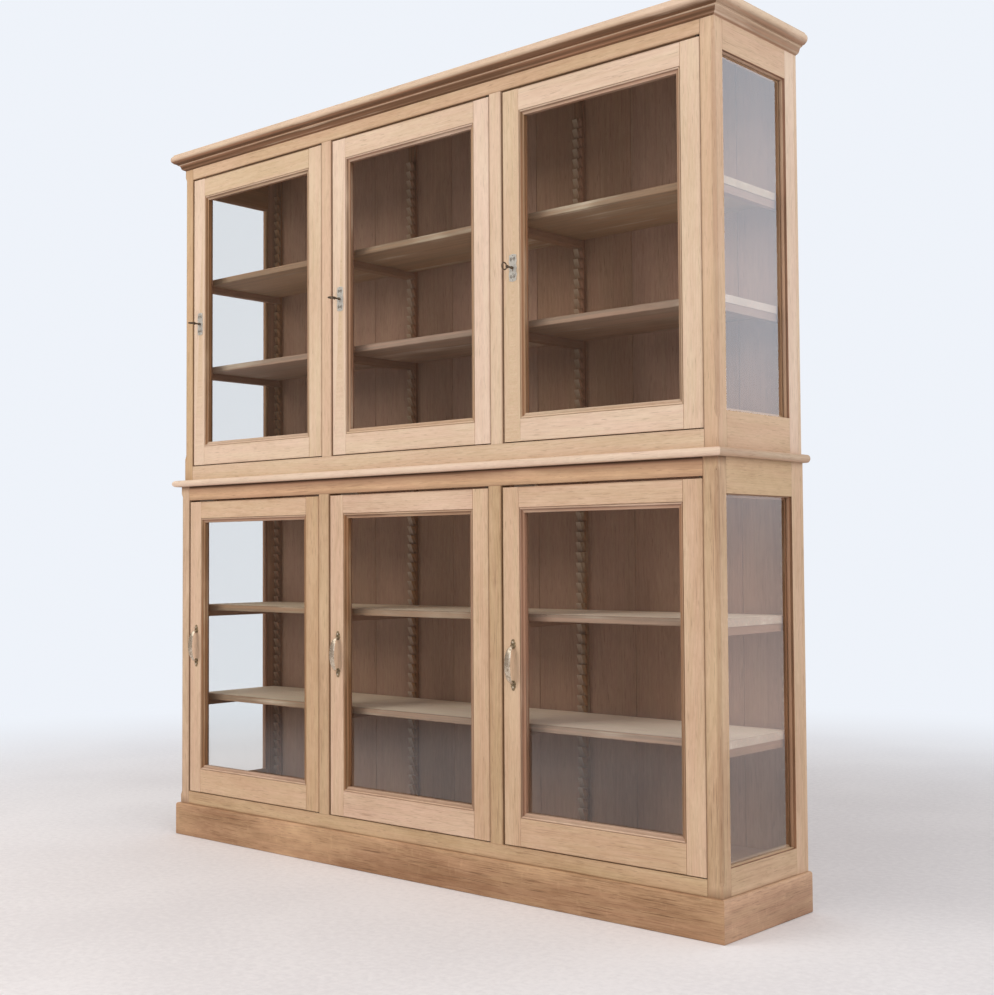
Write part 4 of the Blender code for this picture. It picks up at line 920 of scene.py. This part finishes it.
for tier_number, tier in enumerate(TIERS):
    slot = TIER_OAK[tier][0]
    door_low, door_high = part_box(f"{tier}_left_door_frame")
    opening_foot, opening_head = door_low.z - FOOT_GAP, door_high.z + HEAD_GAP
    low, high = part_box(f"{tier}_front_bottom_rail")
    wood = Stock(f"{tier}_bottom_rail", slot, BOTTOM_RAIL_OAK[tier], 240 + tier_number)
    verts = wood.plank(low, (high.x, low.y + RAIL_THICK, opening_foot), "x")
    wood.stain_and_shade_gap(verts, "z", opening_foot, share=0.1)
    if tier == "base":
        wood.stain_and_shade_gap(verts, "z", low.z)
    wood.ready(f"{tier}_front_bottom_rail")
    low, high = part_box(f"{tier}_front_top_rail")
    wood = Stock(f"{tier}_top_rail", slot, TOP_RAIL_OAK[tier], 250 + tier_number)
    band = WAIST_SHADE_BAND if tier == "base" else BAND
    verts = wood.plank((low.x, low.y, opening_head), (high.x, low.y + RAIL_THICK, high.z), "x", band=band)
    wood.stain_and_shade_gap(verts, "z", opening_head)
    # painted shade under the waist nose, with grime: the rail's top turns nearly black and fades down the
    # band
    if tier == "base":
        for edge, share in ((high.z, 2.2), (high.z - ARRIS, 2.1), (high.z - band, 0.6)):
            wood.leave_finish_and_shade(verts, "z", edge, share)
    wood.ready(f"{tier}_front_top_rail")
    stops = Stock(f"{tier}_door_stops", slot, SHELF_WOOD, 260 + tier_number)
    pins = []
    for bay in BAYS:
        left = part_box(f"{tier}_{bay}_door_frame")[0].x + STOP_IN
        start = Vector((left, low.y + RAIL_THICK + JOINT, opening_head - STOP_DROP))
        stops.plank(start, start + STOP, "x")
        x, y, _ = JOINTS[f"{tier}_{bay}_door_hinge"]["pos_m"]
        pins.append(turned(pin(0.0148, 0.0027), 16, Matrix.Translation((x, y, opening_foot))))
        flipped = Matrix.Translation((x, y, opening_head)) @ Matrix.Rotation(math.pi, 4, "X")
        pins.append(turned(pin(0.0178, 0.0012), 16, flipped))
    stops.ready()
    show(f"{tier}_pivot_pins", gathered(pins), IRON, "carcass", smooth=40)
print("rails:", 4, "pins:", 12)

# %% [markdown]
# ## Boards: plinth, deck, roof, cornice, back, shelves
#
# Mouldings are planed along a board, then mitred at the corners. A profile of a few arcs, run along
# each side with its ends leaning at one to one, gives the same thing, with a joint line to match.

# %% Plinth
PLINTH_THICK = 0.02
PLINTH_ROUND = 0.006
CORNER_BLOCK = 0.045


def add_around(stock, outline, half, front, bottom, finish_and_shade_shares, end_share=1.0, end_least=0.0):
    """Three lengths of one profile, out from a box's front and ends, mitred in front."""
    runs = [stock.length(outline, (-half, front, bottom), "x", "-y", "z", 2 * half, mitres=(-1, 1))]
    for side, out in ((-1, "-x"), (1, "x")):
        start = (side * half, front, bottom)
        runs.append(stock.length(outline, start, "y", out, "z", BACK - front, mitres=(-1, 0)))
    for verts, kept, least in zip(runs, (1.0, end_share, end_share), (0.0, end_least, end_least)):
        stock.age_and_shade(verts, [max(share * kept, least) for share in finish_and_shade_shares])


low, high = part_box("plinth")
out = high.x - BASE_HIGH.x
rounding = arc((out - PLINTH_ROUND, high.z - PLINTH_ROUND), PLINTH_ROUND, 0, 90, 6)
profile = [(out - PLINTH_THICK, 0.0), (out - 0.0015, 0.0), (out, 0.0015), *rounding]
profile.append((out - PLINTH_THICK, high.z))
plinth = Stock("plinth_boards", "plinth_oak", PLINTH_OAK, 300)
add_around(plinth, profile, BASE_HIGH.x, BASE_LOW.y, 0.0, [0.5, 0.4, 0.3] + [0.0] * 7 + [1.0])
inside = BASE_HIGH.x + out - PLINTH_THICK
plinth.plank((-inside, BACK - PLINTH_THICK, 0.0), (inside, BACK, high.z - JOINT), "x")
for x in (-inside, inside - CORNER_BLOCK):
    for y in (BASE_LOW.y - out + PLINTH_THICK, BACK - PLINTH_THICK - CORNER_BLOCK):
        top = (x + CORNER_BLOCK, y + CORNER_BLOCK, high.z - 0.0006)
        plinth.plank((x, y, 0.002), top, "z", ease=0.002)
plinth.ready("plinth", smooth=30)
print("plinth:", [round(v, 3) for v in high - low])

# %% Deck board with its rounded nose, and roof board
NOSE_HANGS = 0.0035  # how far the waist moulding hangs below the board

low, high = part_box("deck_board")
deck = Stock("deck_boards", "pale_oak", PALE_OAK, 318)
half_deep = (BACK - BASE_LOW.y) / 2
for number in range(2):
    y = BASE_LOW.y + number * half_deep
    deck.plank((-BASE_HIGH.x, y, low.z), (BASE_HIGH.x, y + half_deep, high.z), "x", ease=0.0003)
out = high.x - BASE_HIGH.x - 3 * HAIR
rise = high.z - low.z + NOSE_HANGS
section = [(0.0, 0.0), *arc((out - rise / 2, rise / 2), rise / 2, -90, 90, 10), (0.0, rise)]
# painted shade: the nose's underside and lower curve are darkened, and the ends' nose gets at least 0.38 all
# over
finish_and_shade_shares = [0.9, 0.5, 0.12, 0.0] + [0.0] * 8 + [0.1]
add_around(deck, section, BASE_HIGH.x + HAIR, BASE_LOW.y - HAIR, high.z - rise, finish_and_shade_shares, end_least=0.38)
deck.ready("deck_board", smooth=30)

low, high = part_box("roof_board")
roof = Stock("roof_boards", "pale_oak", SHELF_WOOD, 320)
deep = (high.y - low.y) / 3
for number in range(3):
    y = low.y + number * deep
    verts = roof.plank((low.x, y + HAIR, low.z), (high.x, y + deep - HAIR, high.z), "x")
    # painted shade: the roof's underside is darkened, as the top of each bay lies in shade
    roof.leave_finish_and_shade(verts, "z", low.z, 0.85)
roof.ready("roof_board")
print("waist moulding:", round(rise, 4))

# %% Cornice
hollow = arc((0.0, 0.0125), 0.0105, -85, -10, 8)
swell = arc((0.02, 0.013), 0.0085, 170, 95, 8)
coved = [(0.0, 0.0), *hollow, *swell, (0.0193, 0.024), (0.0262, 0.0262)]
nose = [(x, 0.0345 + 1.25 * (z - 0.037)) for x, z in arc((0.025, 0.037), 0.01, -50, 70, 12)]
profile = [*((x, 0.893 * z - 0.003) for x, z in coved), *nose, (0.0275, 0.05), (0.0, 0.05)]
# old finish and painted shade under the cornice: the hollow and the swell's underside are darkened
finish_and_shade_shares = [
    0.9, 0.95, 0.95, 0.9, 0.75, 0.7, 0.8, 0.95, 1.0, 1.0,  # foot and hollow, old finish and painted shade
    1.0, 0.95, 0.9, 0.8, 0.6, 0.25, 0.0, 0.3, 0.9, 1.0, 1.0,  # swell and fillet: painted shade below, a bare band above as its highlight
    0.85, 0.65, 0.45, 0.28, 0.15, 0.05, *[0.0] * 9,  # nose and top
]
low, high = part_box("cornice")
cornice = Stock("cornice_lengths", "pale_oak", PALE_OAK, 330)
# the front takes more than the ends, so its hollow looks more shaded
finish_and_shade_shares = [share * 1.3 for share in finish_and_shade_shares]
add_around(cornice, profile, UPPER_HIGH.x + JOINT, UPPER_LOW.y - JOINT, low.z, finish_and_shade_shares, end_share=0.62)
cornice.ready("cornice", smooth=30)
print("cornice:", [round(v, 3) for v in high - low])

# %% [markdown]
# ## Back, floor and shelves
#
# The back is a row of upright boards. Lines in the colour of one panel would look flat from the
# side, so each board is a length of its own, with its front edges planed off and its own place in a
# log. A shelf is one section with a rounded lip, and its battens slope as the notches of the racks do.

# %% Floor and back boards
BACK_BOARDS = 12
LIPPING = 0.0008  # a pale edge on the back panel, seen from the ends
GROOVE = 0.0016
RACK_SHADOW_STRIP = 0.013  # a strip of painted shade and shadow along a rear rack's right cheek

low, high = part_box("base_floor")
boards = Stock("base_floor_boards", "shelf_wood", BACK_WOOD, 340)
near, far = BASE_LOW.y + POST_DEEP + JOINT, BASE_HIGH.y - REAR_POST_DEEP - 2 * JOINT
third = (far - near) / 3
for front, back, half in (
    (low.y, near, BASE_HIGH.x - POST_WIDE["base"] - 0.0013), (near, near + third, high.x),
    (near + third, near + 2 * third, high.x), (near + 2 * third, far, high.x),
    (far, high.y, BASE_HIGH.x - REAR_POST_WIDE - 0.0013),
):
    boards.plank((-half, front + HAIR, low.z), (half, back - HAIR, high.z), "x")
boards.ready("base_floor")

face = BACK - BACK_THICK
for tier_number, tier in enumerate(TIERS):
    low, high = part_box(f"{tier}_back")
    boards = Stock(f"{tier}_back_boards", "back_wood", BACK_WOOD, 350 + tier_number)
    lipping = Stock(f"{tier}_back_lipping", *DOOR_OAK[tier], 355 + tier_number)
    for x in (low.x, high.x - LIPPING):
        lipping.plank((x, face, low.z), (x + LIPPING, BACK, high.z), "z", ease=0.0001)
    lipping.ready()
    pitch = (high.x - low.x - 2 * LIPPING) / BACK_BOARDS
    edge = pitch - 0.0002
    section = [
        (GROOVE, 0.0), (pitch - GROOVE, 0.0), (edge, 0.0018), (edge, 0.0115), (pitch - 0.0008, BACK_THICK),
        (0.0008, BACK_THICK), (0.0002, 0.0115), (0.0002, 0.0018),
    ]
    for number in range(BACK_BOARDS):
        origin = (low.x + LIPPING + number * pitch, face, low.z)
        boards.length(section, origin, "z", "x", "y", high.z - low.z)
    boards.ready(f"{tier}_back")
    racks = Stock(f"{tier}_rear_racks", "back_wood", RACK_WOOD, 360 + tier_number)
    half = MIDDLE_RACK / 2
    for middle in MIDDLES[tier]:
        add_rack(racks, tier, middle - half, middle + half, face, "-y", FLOOR_TOP[tier], high.z, RACK_SHADOW_STRIP)
    racks.ready()
print("back boards:", BACK_BOARDS * len(TIERS))

# %% Shelves on their battens
SHELF_THICK = 0.019
SHELF_GAP = 0.0012  # between a shelf and the tips of the racks
SHELF_FRONT = {"base": BASE_LOW.y, "upper": UPPER_LOW.y}
CUT = 0.0004  # half of the line between two shelf boards
BATTEN_HIGH = 0.02
BATTEN_IN = 0.003  # from the shelf's end
BATTEN_SLOPE = (RACK_TIP - RACK_ROOT) * BATTEN_HIGH / RACK_PITCH


def add_shelf(tier, level, seed):
    """Three boards of a level, and the four battens that carry them."""
    low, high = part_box(f"{tier}_{level}_shelf")
    near = SHELF_FRONT[tier] + POST_DEEP + RACK_TIP + SHELF_GAP
    far = BACK - BACK_THICK - RACK_TIP - SHELF_GAP
    under = high.z - SHELF_THICK
    shelf = Stock(f"{tier}_{level}_shelf_boards", "shelf_wood", SHELF_WOOD, seed)
    section = [*arc((0.0035, 0.0035), 0.0035, 180, 270, 4), (far - near, 0.0), (far - near, SHELF_THICK)]
    section += [(0.012, SHELF_THICK), *arc((0.004, SHELF_THICK - 0.004), 0.004, 90, 180, 4)]
    cuts = [low.x, *MIDDLES[tier], high.x]
    for left, right_edge in zip(cuts, cuts[1:]):
        stations = [left + CUT, left + 0.004, right_edge - 0.004, right_edge - CUT]
        verts = shelf.loft([[(x, near + d, under + h) for d, h in section] for x in stations], "x", "y")
        # old finish and painted shade on every face but the top, which stays bare and so looks lit; the outer
        # ends take a little less
        for vert in verts:
            is_top = vert.co.z > under + SHELF_THICK - 0.0001 and vert.co.y > near + 0.01
            vert[shelf.old] = 0.0 if is_top else 0.8
        for end in (low.x + CUT, high.x - CUT):
            shelf.leave_finish_and_shade(verts, "x", end, 0.6)
    shelf.ready(f"{tier}_{level}_shelf", smooth=30)

    battens = Stock(f"{tier}_{level}_battens", "shelf_wood", BACK_WOOD, seed + 5)
    deep = high.y - low.y
    section = [(0.0, 0.0), (deep, 0.0), (deep - BATTEN_SLOPE, BATTEN_HIGH), (BATTEN_SLOPE, BATTEN_HIGH)]
    half = MIDDLE_RACK / 2
    spans = [(low.x + BATTEN_IN, low.x + END_RACK), (high.x - END_RACK, high.x - BATTEN_IN)]
    for left, right_edge in spans + [(middle - half, middle + half) for middle in MIDDLES[tier]]:
        origin = (left, low.y, low.z)
        verts = battens.length(section, origin, "x", "y", "z", right_edge - left, fibre="y", wide="x")
        # painted shade: dark back wood and a share of old finish darken the battens under the shelves
        battens.age_and_shade(verts, [0.35])
    battens.ready()


for tier_number, tier in enumerate(TIERS):
    for level_number, level in enumerate(("lower", "higher")):
        add_shelf(tier, level, 380 + 20 * tier_number + 10 * level_number)
print("shelf boards:", 12)

# %% [markdown]
# ## Doors
#
# A door is two stiles that run its full height and two rails between them. The moulding that holds
# the glass in front is one profile with a bead, a quirk and a flat, mitred at the corners. Stripping
# never reaches into a quirk, so its old red-brown finish is left there: each point of the profile
# says how much of it stays.

# %% Mouldings round the glass
QUIRK_DEEP = 0.0032
BEAD_RADIUS = 0.0026
MORE_FINISH_AND_SHADE = {"base": (0.75, 0.5, -0.3, 0.3), "upper": (0.5, 0.3, -0.5, 0.2)}  # left, right, foot, head: old finish, with more on the head, which faces down, as painted shade, and less on the foot, which faces up


def frame_of(stock, section, low, high, front, finish_and_shade_shares=(0.0,), more_on=(0, 0, 0, 0)):
    """Four mitred lengths round an opening; section runs in from its edge and back from the front."""
    wide, tall = high.x - low.x, high.z - low.z
    for (origin, along, out, long), more in zip((
        ((low.x, front, low.z), "z", "x", tall), ((high.x, front, low.z), "z", "-x", tall),
        ((low.x, front, low.z), "x", "z", wide), ((low.x, front, high.z), "x", "-z", wide),
    ), more_on):
        verts = stock.length(section, origin, along, out, "y", long, mitres=(1, -1))
        stock.age_and_shade(verts, [share + (1 - share) * more if more > 0 else share * (1 + more) for share in finish_and_shade_shares])


print("bead:", 2 * BEAD_RADIUS)

# %% Hang the doors
DOOR_EASE = 0.0014
PIN_HOLE, PIN_HOLE_DEEP = 0.0034, 0.0144  # radius, and depth with the start of the cut
KEYHOLE, KEY_SLOT, KEY_DROP = 0.0033, 0.0016, 0.0098  # eye's radius, slot's half width and foot
CLEAR = 0.002  # a cut starts and ends this far outside the wood


def keyhole(x, z, near, far):
    """What cuts a keyhole from near to far on y."""
    slot_low, slot_high = (x - KEY_SLOT, near, z - KEY_DROP), (x + KEY_SLOT, far, z)
    return [rod_mesh((x, near, z), KEYHOLE, far - near, "y"), box_mesh(slot_low, slot_high)]


for number, door in enumerate(DOORS):
    tier = door.split("_")[0]
    slot, oak = DOOR_OAK[tier]
    low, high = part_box(f"{door}_frame")
    pane_low, pane_high = window(f"{door}_glass")
    front = MULLIONS[tier][0][0].y
    rear = front + RAIL_THICK
    wood = Stock(f"{door}_woodwork", slot, oak, 500 + 7 * number, door)
    # shares by side paint the shade in the gaps: more on the left and top gaps, less on the right and bottom
    # ones, which face the light
    for left, right_edge, edge, share in (
        (low.x, pane_low.x - HAIR, low.x, 0.4), (pane_high.x + HAIR, high.x, high.x, 0.1),
    ):
        verts = wood.plank((left, front, low.z), (right_edge, rear, high.z), "z", ease=DOOR_EASE)
        wood.stain_and_shade_gap(verts, "x", edge, DOOR_EASE, share)
    for bottom, top, edge, share in ((low.z, pane_low.z, low.z, 0.1), (pane_high.z, high.z, high.z, 0.4)):
        verts = wood.plank((pane_low.x, front, bottom), (pane_high.x, rear, top), "x")
        wood.stain_and_shade_gap(verts, "z", edge, share=share)
    piece = wood.ready(f"{door}_frame")
    x, y, _ = JOINTS[f"{door}_hinge"]["pos_m"]
    cutters = [
        rod_mesh((x, y, z), PIN_HOLE, PIN_HOLE_DEEP, "z")
        for z in (low.z - CLEAR, high.z + CLEAR - PIN_HOLE_DEEP)
    ]
    if tier == "upper":
        x, _, z = JOINTS[f"{door[:-5]}_key_turn"]["pos_m"]
        cutters += keyhole(x, z, front - CLEAR, rear + CLEAR)
    carve(piece, cutters)

    glass_front = pane_low.y + GLASS_EDGE - front
    glass_rear = pane_high.y - GLASS_EDGE - front + 0.0003
    bead = arc((BEAD_RADIUS + 0.0006, QUIRK_DEEP), BEAD_RADIUS, 180, 360, 8)
    section = [(0.0, glass_front), (0.0, QUIRK_DEEP), *bead, (0.0068, 0.0058), (0.0135, 0.006)]
    section += [(0.014, 0.0066), (0.014, glass_front)]
    finish_and_shade_shares = [1.0, 0.9, *[0.85 - 0.7 * math.sin(math.pi * step / 8) for step in range(9)], 0.8, 0.45, 0.9, 1.0]
    moulding = Stock(f"{door}_moulding", slot, oak, 503 + 7 * number, door)
    frame_of(moulding, section, pane_low, pane_high, front, finish_and_shade_shares, MORE_FINISH_AND_SHADE[tier])
    moulding.ready(smooth=35)

    beads = Stock(f"{door}_glazing_beads", "red_oak", RED_OAK, 505 + 7 * number, door)
    section = [(0.0003, glass_rear), (0.011, glass_rear), (0.011, RAIL_THICK - 0.002)]
    section += [(0.009, RAIL_THICK), (0.0003, RAIL_THICK)]
    frame_of(beads, section, pane_low, pane_high, front)
    beads.ready(f"{door}_beads")
print("doors:", len(DOORS))

# %% [markdown]
# ## Handles
#
# The lower doors have cast bow pulls: a bow that is broad in the middle and ridged, and a lobed leaf
# with a screw at each end. A curve with a bevel would keep one section, and here width and thickness
# change all the way, so a loft along an arc makes the bow.

# %% A bench for castings
TO_FRONT = Matrix.Rotation(math.radians(90), 4, "X")  # x right, y up, z out of the door


class Casting:
    """A mesh built in a door's own axes: x right, y up, z out of the door."""

    def __init__(self, place):
        self.mesh = bmesh.new()
        self.place = place

    def loft(self, rings, closed=False):
        skin(self.mesh, [[self.place @ Vector(point) for point in ring] for ring in rings], closed)

    def add(self, data, matrix=Matrix()):
        before = len(self.mesh.verts)
        self.mesh.from_mesh(data)
        self.mesh.verts.ensure_lookup_table()
        bmesh.ops.transform(self.mesh, matrix=self.place @ matrix, verts=self.mesh.verts[before:])

    def ready(self, name, material, body, slot, replaces=None, smooth=40):
        bmesh.ops.recalc_face_normals(self.mesh, faces=self.mesh.faces)
        return show(name, self.mesh, material, body, replaces, smooth)


print("castings for:", 3 + len(BAYS), "doors")

# %% Cast the handles
LEAF = (
    (0.000, 0.0046), (0.003, 0.0052), (0.0055, 0.0078), (0.008, 0.0088), (0.0105, 0.008),
    (0.012, 0.006), (0.0145, 0.0074), (0.0175, 0.0072), (0.0195, 0.005), (0.021, 0.0046),
    (0.0235, 0.0042), (0.0252, 0.0022), (0.026, 0.0),
)  # along the leaf, and its half width there
LEAF_LONG, LEAF_MIDDLE = 0.026, 0.012
LEAF_STEPS = ((1.0, 0.0), (1.0, 0.0014), (0.86, 0.0024), (0.45, 0.003))  # share of outline, height
HANDLE_LONG = 0.134
BOW_HALF = HANDLE_LONG / 2 - 0.019
BOW_STAND = 0.025  # how far the bow stands out
BOW_FOOT = 0.0014  # and where it starts
SCREW = [
    (0.0, 0.0046), (0.0012, 0.0045), (0.0023, 0.004), (0.003, 0.0031), (0.0031, 0.002), (0.0015, 0.0018),
    (0.0015, -0.0112), (0.0, -0.0112),
]


def leaf_ring(side, share, height):
    """The leaf's outline, drawn in towards its middle by share."""
    points = [(width, along) for along, width in LEAF] + [(-width, along) for along, width in LEAF[-2::-1]]
    middle = HANDLE_LONG / 2 - LEAF_LONG + LEAF_MIDDLE
    return [(x * share, side * (middle + (along - LEAF_MIDDLE) * share), height) for x, along in points]


def bow_ring(angle):
    """The bow's outline at an angle along it: flat behind, ridged in front."""
    swell = math.sin(angle)
    wide, thick = 0.0042 + 0.0062 * swell, 0.0018 + 0.0009 * swell
    centre = Vector((0.0, BOW_HALF * math.cos(angle), BOW_FOOT + (BOW_STAND - BOW_FOOT) * swell ** 0.85))
    normal = Vector((0.0, math.cos(angle) * BOW_STAND, swell * BOW_HALF)).normalized()
    ring = []
    for corner in range(12):
        across, outward = math.cos(math.tau * corner / 12), math.sin(math.tau * corner / 12)
        ridge = 1.25 - 0.55 * abs(across) if outward > 0 else 0.8
        ring.append(centre + AXES["x"] * (wide * across) + normal * (thick * outward * ridge))
    return ring


for door in DOORS[:3]:
    low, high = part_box(f"{door}_handle")
    front = MULLIONS["base"][0][0].y - JOINT
    middle = Vector(((low.x + high.x) / 2, front, (low.z + high.z) / 2))
    handle = Casting(Matrix.Translation(middle) @ TO_FRONT)
    handle.loft([bow_ring(math.pi * step / 28) for step in range(29)])
    feet = Casting(handle.place)
    for side in (-1, 1):
        feet.loft([leaf_ring(side, share, height) for share, height in LEAF_STEPS])
        handle.add(turned(SCREW, 16), Matrix.Translation((0.0, side * (HANDLE_LONG / 2 - 0.0085), 0.0)))
    handle.ready(f"{door}_cast_handle", BRASS, door, "brass", f"{door}_handle")
    feet.ready(f"{door}_handle_leaves", DARK_BRASS, door, "brass")
print("handles:", 3)

# %% [markdown]
# ## Locks
#
# Each upper door has a nickel plate, a key, and an iron case with a steel bolt. Two cosines give the
# plate's outline, so that its halves match, and its scrolls are thin wire laid on the face, because
# a bump would not outlast the export as a mesh. The key is turned work with a ring of wire. It turns
# and its bolt slides, so each rides on a body of its own.

# %% Keyhole plates
PLATE_WIDE, PLATE_HIGH = 0.028, 0.074
PLATE_FACE = 0.0015
PLATE_STEPS = 32
SCROLL_STEPS = 21
WIRE_SIDES = 6
PLATE_PIN = [(0.0, 0.0022), (0.001, 0.002), (0.0013, 0.0014), (0.0, 0.0014)]


def plate_half(share):
    """Half the plate's width at a share of its height, from -1 to 1: waisted, with lobed ends."""
    waist = 0.92 + 0.08 * math.cos(4 * math.pi * share)
    tip = min(1.0, 0.5 + 4.2 * (1 - abs(share)))
    return PLATE_WIDE / 2 * waist * tip


def plate_ring(inset, height):
    tip = PLATE_HIGH / 2 - inset
    shares = [1 - 2 * step / PLATE_STEPS for step in range(1, PLATE_STEPS)]
    right_side = [(plate_half(share) - inset, share * tip, height) for share in shares]
    left_side = [(-x, y, z) for x, y, z in reversed(right_side)]
    return [(0.0, tip, height), *right_side, (0.0, -tip, height), *left_side]


def scroll(side, flip):
    """Points of one engraved scroll, from the waist out to the plate's end."""
    points = []
    for step in range(SCROLL_STEPS + 1):
        share = step / SCROLL_STEPS
        turn = 1.5 * math.tau * share
        radius = 0.0044 * (1 - 0.72 * share)
        x = flip * (0.0052 - radius * math.cos(turn) * 0.9)
        points.append(Vector((x, side * (0.0225 + radius * math.sin(turn) * 1.3), PLATE_FACE)))
    return points


def wire(points, radius):
    """Rings of a wire that follows flat points."""
    rings = []
    for before, point, after in zip(points[:1] + points, points, points[1:] + points[-1:]):
        run = (after - before).normalized()
        across = run.cross(AXES["z"]).normalized()
        rings.append(oval(point, across * radius, across.cross(run) * radius, WIRE_SIDES))
    return rings


def add_plate(door, x, y, z):
    """The plate with its keyhole, and its scrolls and pins."""
    plate = Casting(Matrix.Translation((x, y, z)) @ TO_FRONT)
    plate.loft([plate_ring(0.0, 0.0003), plate_ring(0.0, 0.0011), plate_ring(0.0006, PLATE_FACE)])
    piece = plate.ready(f"{door}_lock_plate", NICKEL, door, "nickel", f"{door}_keyhole_plate", smooth=25)
    carve(piece, keyhole(x, z, y - 2 * CLEAR, y + CLEAR))
    engraving = Casting(plate.place)
    for side in (-1, 1):
        for flip in (-1, 1):
            engraving.loft(wire(scroll(side, flip), 0.00055))
        engraving.add(turned(PLATE_PIN, 10), Matrix.Translation((0.0, side * 0.0325, 0.0)))
    engraving.ready(f"{door}_plate_scrolls", IRON, door, "iron")


print("plate:", PLATE_WIDE, PLATE_HIGH)

# %% Keys
SHANK = [
    (0.0, 0.0278), (0.002, 0.0276), (0.0028, 0.0262), (0.0028, 0.0247), (0.0044, 0.024), (0.0046, 0.0228),
    (0.0044, 0.0216), (0.0028, 0.0209), (0.0026, 0.008), (0.004, 0.0072), (0.0044, 0.0058),
    (0.004, 0.0044), (0.0027, 0.0038), (0.0027, -0.0328), (0.0, -0.0328),
]
HOOP = Vector((0.0, 0.0, 0.035))
HOOP_RADIUS = 0.0092
HOOP_STEPS = 36
BIT = [(-0.0011, -0.0095), (0.0011, -0.0095), (0.0011, -0.001), (-0.0011, -0.001)]
KEY_TURNED = {"left": 90, "middle": 90, "right": 0}  # degrees at rest


def add_key(bay, place):
    """A turned shank, a ring of flattened wire to hold and a bit that reaches into the lock."""
    key = Casting(place @ Matrix.Rotation(math.radians(KEY_TURNED[bay]), 4, "Z"))
    key.add(turned(SHANK, 20))
    rings = []
    for step in range(HOOP_STEPS):
        angle = math.tau * step / HOOP_STEPS
        radial = Vector((0.0, math.sin(angle), -math.cos(angle)))
        rings.append(oval(HOOP + radial * HOOP_RADIUS, radial * 0.0018, AXES["x"] * 0.0021, 10))
    key.loft(rings, closed=True)
    key.loft([[(x, y, z) for x, y in BIT] for z in (-0.0268, -0.0313)])
    key.ready(f"upper_{bay}_iron_key", IRON, f"upper_{bay}_key", "iron", f"upper_{bay}_door_key")


print("key:", SHANK[0][1] - SHANK[-1][1])

# %% Lock cases and bolts
CASE_SCREW = [(0.0, 0.001), (0.0018, 0.0008), (0.0026, 0.0), (0.0, 0.0)]
SCREW_IN = 0.005
CHAMBER, CHAMBER_DEEP = 0.0105, 0.009  # the hollow that the bit turns in


def add_lock(bay, door, x, z):
    """The iron box, its screws and the steel bolt that slides in it."""
    low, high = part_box(f"{door}_lock_case")
    case = box_mesh(low, high, ease=0.0008)
    piece = show(f"{door}_lock_box", case, IRON, door, f"{door}_lock_case")
    carve(piece, [
        bolt_way(bay, low.x - CLEAR, low.x + 0.0345, 0.0005),
        rod_mesh((x, low.y - CLEAR, z), CHAMBER, CHAMBER_DEEP, "y"),
    ])
    turn = Matrix.Rotation(math.radians(-90), 4, "X")
    screws = [
        turned(CASE_SCREW, 12, Matrix.Translation((px, high.y, pz)) @ turn)
        for px in (low.x + SCREW_IN, high.x - SCREW_IN) for pz in (low.z + SCREW_IN, high.z - SCREW_IN)
    ]
    show(f"{door}_lock_screws", gathered(screws), STEEL, door, smooth=40)
    bolt = box_mesh(*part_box(f"{door}_bolt"), ease=0.0005)
    show(f"upper_{bay}_steel_bolt", bolt, STEEL, f"upper_{bay}_bolt", f"{door}_bolt")


for bay in BAYS:
    door = f"upper_{bay}_door"
    x, y, z = JOINTS[f"upper_{bay}_key_turn"]["pos_m"]
    add_plate(door, x, y, z)
    add_key(bay, Matrix.Translation((x, y, z)) @ TO_FRONT)
    add_lock(bay, door, x, z)
print("locks:", len(BAYS))

# %% [markdown]
# ## Size
#
# The last cell measures the dressed cabinet's box and prints its size.

# %% Measure and finish
low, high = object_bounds()
print("size:", [round(value, 4) for value in high - low])
